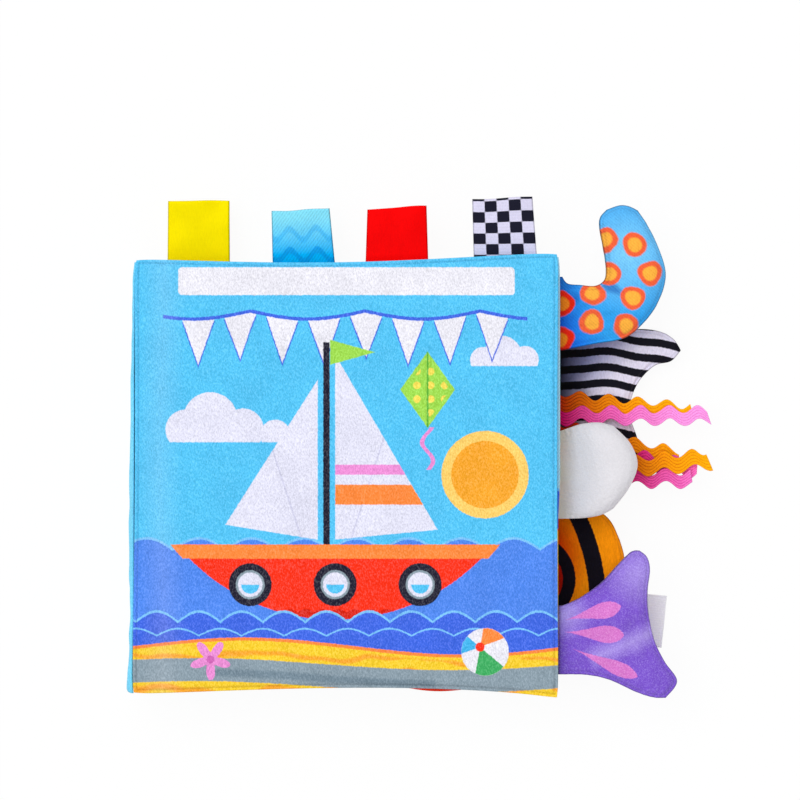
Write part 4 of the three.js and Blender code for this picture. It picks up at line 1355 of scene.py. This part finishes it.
spotted_knit = tail_knit("printed spotted tricot", spotted_print, rib=(1.0, -50, 0.2), rim=0.6)
fish_velour = tail_knit("printed drop velour", fish_print, fibre=0.55, stretch=1.0, speckle=0.12, tips=0.13,
                        roughness=0.8, sheen=0.15)
fin_knit = tail_knit("printed striped knit", fin_print)
banded_minky = tail_knit("printed banded minky", banded_print, fibre=0.6, roughness=0.9, sheen=0.02,
                         specular=0.02)
# Short white plush: dense upright fibres, so no direction, a deep soft bump and a strong sheen.
white_plush = cloth_material("short white plush", plain("#dfdde2"), fibre=0.8, lean=0, stretch=1.0,
                             speckle=0.04, brushed=0.02, roughness=1.0, sheen=0.4)

# Start, end, width and depth of each tail's creases
make_tail("spotted_tail", spotted_knit, "spotted_cloth",
          folds=[((74.4, 66.2), (81.2, 62.4), 1.2, 1.3), ((60.4, 42.0), (82.0, 46.0), 0.9, 1.0),
                 ((57.6, 69.6), (60.4, 65.4), 1.2, 1.2), ((60.0, 50.0), (66.0, 56.0), 1.8, 0.8)])
make_tail("fish_tail", fish_velour, "fish_cloth",
          folds=[((66.0, -66.0), (86.0, -52.0), 3.0, 0.8), ((70.0, -78.0), (92.0, -70.0), 2.6, 0.8)])
make_tail("ball_tail", white_plush, "white_plush", fuzz=0.05)
make_tail("striped_fin", fin_knit, "striped_cloth",
          folds=[((58.0, 38.5), (72.0, 35.5), 1.6, 1.2), ((58.0, 29.0), (70.0, 32.0), 1.5, 1.0),
                 ((59.0, 24.0), (71.0, 21.0), 1.8, 0.9)])
make_tail("banded_tail", banded_minky, "banded_cloth")
print("tail pieces:", 3 * len(TAILS))

# %% [markdown]
# ## Rickrack
#
# Rickrack is a flat braid that swings from side to side. Its threads run along the wave, so its face has
# five fine cords with grooves between them, and these grooves are real shape here: the height is the
# absolute sine across the braid. It is narrow sewn trim, and it starts inside the seam of the third leaf.

# %% Six streamers
BRAID_WIDTH = {"orange": 6.6, "pink": 5.4}
RICKRACK_THICKNESS = 1.0
RICKRACK_WAVE = 12
RICKRACK_SWING = 1.6
RICKRACK_GAP = 0.3
RICKRACK_DROP = 2.5
RICKRACK_REACH = 61.4
RICKRACK_LEAD = 1.0
RICKRACK_CORDS = 5
GROOVE_SHARE = 0.52
ROWS_PER_WAVE, BRAID_COLUMNS = 26, 33
STACK_MIDDLE = 1.5
# Share of the reach, turns that the wave is shifted by, height of the middle above the foot at the seam and
# at the end, layer in the stack, slant of the cut end, and how many millimetres further out its painted shade
# reaches from the root
STREAMERS = {
    "rickrack_orange_1": (0.89, 0.46, 117.5, 112.2, 0, -0.9, 0),
    "rickrack_pink_1": (1.0, 0.51, 111.4, 111.4, 1, -0.9, 0),
    "rickrack_orange_2": (0.8, 0.35, 105.4, 93.6, 0, 0.0, 12),
    "rickrack_pink_3": (0.92, 0.67, 98.0, 89.8, 1, 0.2, 30),
    "rickrack_pink_2": (0.88, 0.385, 86.0, 86.0, 2, -0.4, 26),
    "rickrack_orange_3": (1.0, 0.3, 88.2, 93.8, 3, -1.4, 18),
}


def braid_look(colour, lights, darks):
    """Woven polyester braid: cords in the lights, and grooves between them in the darks, read from the width
    in the UV map. The darker groove colours are painted shade.

    The colours are at the root, a third of the way and at the end, and they darken towards the root as
    painted shade where the pages above shadow it.
    """
    def paint(tree):
        shades = []
        for root, middle, end in (darks, lights):
            shade = Print(tree, end, follows_cloth=True)
            # Painted shade: each palette darkens from the end towards the root.
            shade.lay(middle, shade.x - 38, softness=14.0)
            shade.lay(root, shade.x - 14, softness=13.0)
            shades.append(shade)
        art, light = shades
        cord = abs((art.y * (math.pi * RICKRACK_CORDS / BRAID_WIDTH[colour])).math("SINE"))
        art.lay(light.colour, -cord + 0.32, softness=0.22)
        return art.colour
    return cloth_material(colour + " rickrack braid", paint, fibre=0.45, lean=20, stretch=0.5, speckle=0.12,
                          roughness=0.7, sheen=0.0, relief=0.4)


# Cord colours, then groove colours, at root, a third of the way and end. The darker ones are painted shade.
BRAIDS = {
    "orange": braid_look("orange", ("#c23206", "#fa9a08", "#ffba0a"), ("#6e1a04", "#d96c06", "#f09c08")),
    "pink": braid_look("pink", ("#da0a70", "#fb74c8", "#ffa0ea"), ("#86043e", "#dc48a2", "#ec7ed0")),
}


def streamer(name):
    """A wavy braid: y is the line from seam to end, plus a sine along it, plus the place across the width."""
    ends, turns, start, end, level, slant, shade_shift = STREAMERS[name]
    colour = name.split("_")[1]
    width = BRAID_WIDTH[colour]
    length = ends * RICKRACK_REACH
    waves = length / RICKRACK_WAVE
    lead = np.linspace(-RICKRACK_LEAD / length, 0, 4)[:-1]
    along = np.concatenate([lead, np.linspace(0, 1, int(ROWS_PER_WAVE * waves))])
    a, b = grid(along, even_arc(BRAID_COLUMNS))
    outside = np.clip(a, 0, 1)
    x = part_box(name)[0].x / MM + a * length + outside ** 8 * slant * (b - 0.5) * 2
    swing = RICKRACK_SWING * np.sin(2 * np.pi * (waves * a - turns))
    seed = list(STREAMERS).index(name) + 40
    uneven = ripples(a * length, b * 3, size=7, seed=seed, height=0.12)
    y = FOOT_Y + start + a * (end - start) + swing + (b - 0.5) * width + uneven
    cords = np.abs(np.sin(np.pi * RICKRACK_CORDS * b)) ** 0.8
    thinning = np.clip(1 + a * length / RICKRACK_LEAD, 0.25, 1)
    half = RICKRACK_THICKNESS / 2 * (GROOVE_SHARE + (1 - GROOVE_SHARE) * cords) * thinning
    middle = MIDDLE["leaf_3"] + (level - STACK_MIDDLE) * (RICKRACK_THICKNESS + RICKRACK_GAP)
    middle = middle - RICKRACK_DROP * (ends * outside) ** 2
    middle = middle + 0.12 * np.sin(2 * np.pi * waves * a + 0.8) * np.clip(a * 4, 0, 1)
    # Shifting the UV back carries the painted shade at the root further along the braid.
    uv = np.stack([a * length - shade_shift, b * width], axis=-1) * MM
    made = slab(name + "_braid", stack(x, y, middle + half), stack(x, y, middle - half), uv)
    dress(made, BRAIDS[colour], colour + "_rickrack", [name], body="leaf_3")


for name in STREAMERS:
    streamer(name)
print("streamers:", len(STREAMERS))

# %% [markdown]
# ## The care label
#
# A strip of white woven tape is caught in the fore edge of the back cover. It leaves the seam a little
# downhill and curls up slightly at its free end. It is left bare.

# %% Label
LABEL_LENGTH = 45.0
LABEL_WIDTH = 21.2
LABEL_AT = 20.8
LABEL_SLIP = 4.8
LABEL_END_TILT = 2.3
LABEL_THICKNESS = 0.35
LABEL_CURL = 0.8
SELVEDGE_WIDTH, SELVEDGE_HEIGHT = 0.7, 0.12
LABEL_GRID = (90, 46)
# Woven polyester tape is flat, smooth and matt, with its weft as a fine rib across.
woven_tape = cloth_material("white woven tape", plain("#fafafd"), fibre=0.4, lean=0, stretch=0.4,
                            speckle=0.04, brushed=0.02, roughness=0.7, sheen=0.05, relief=0.3,
                            rib=(0.7, 84, 0.12))
a, b = grid(*(np.linspace(0, 1, count) for count in LABEL_GRID))
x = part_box("care_label")[0].x / MM + a * (LABEL_LENGTH + (b - 0.5) * LABEL_END_TILT)
y = FOOT_Y + LABEL_AT + b * LABEL_WIDTH - a * LABEL_SLIP
z = MIDDLE["back_cover"] + ripples(x, y, size=40, seed=61, height=0.5) * a + LABEL_CURL * a ** 6
selvedge = np.minimum(b, 1 - b) * LABEL_WIDTH / SELVEDGE_WIDTH
half = LABEL_THICKNESS / 2 + SELVEDGE_HEIGHT * np.exp(-selvedge ** 2)
label = slab("care_label_tape", stack(x, y, z + half), stack(x, y, z - half))
dress(label, woven_tape, "label_cloth", ["care_label"], body="back_cover")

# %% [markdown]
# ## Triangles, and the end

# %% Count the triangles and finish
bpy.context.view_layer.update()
triangles = sum(2 * len(piece.data.polygons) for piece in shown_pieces() if piece.type == "MESH")
print("triangles:", triangles)
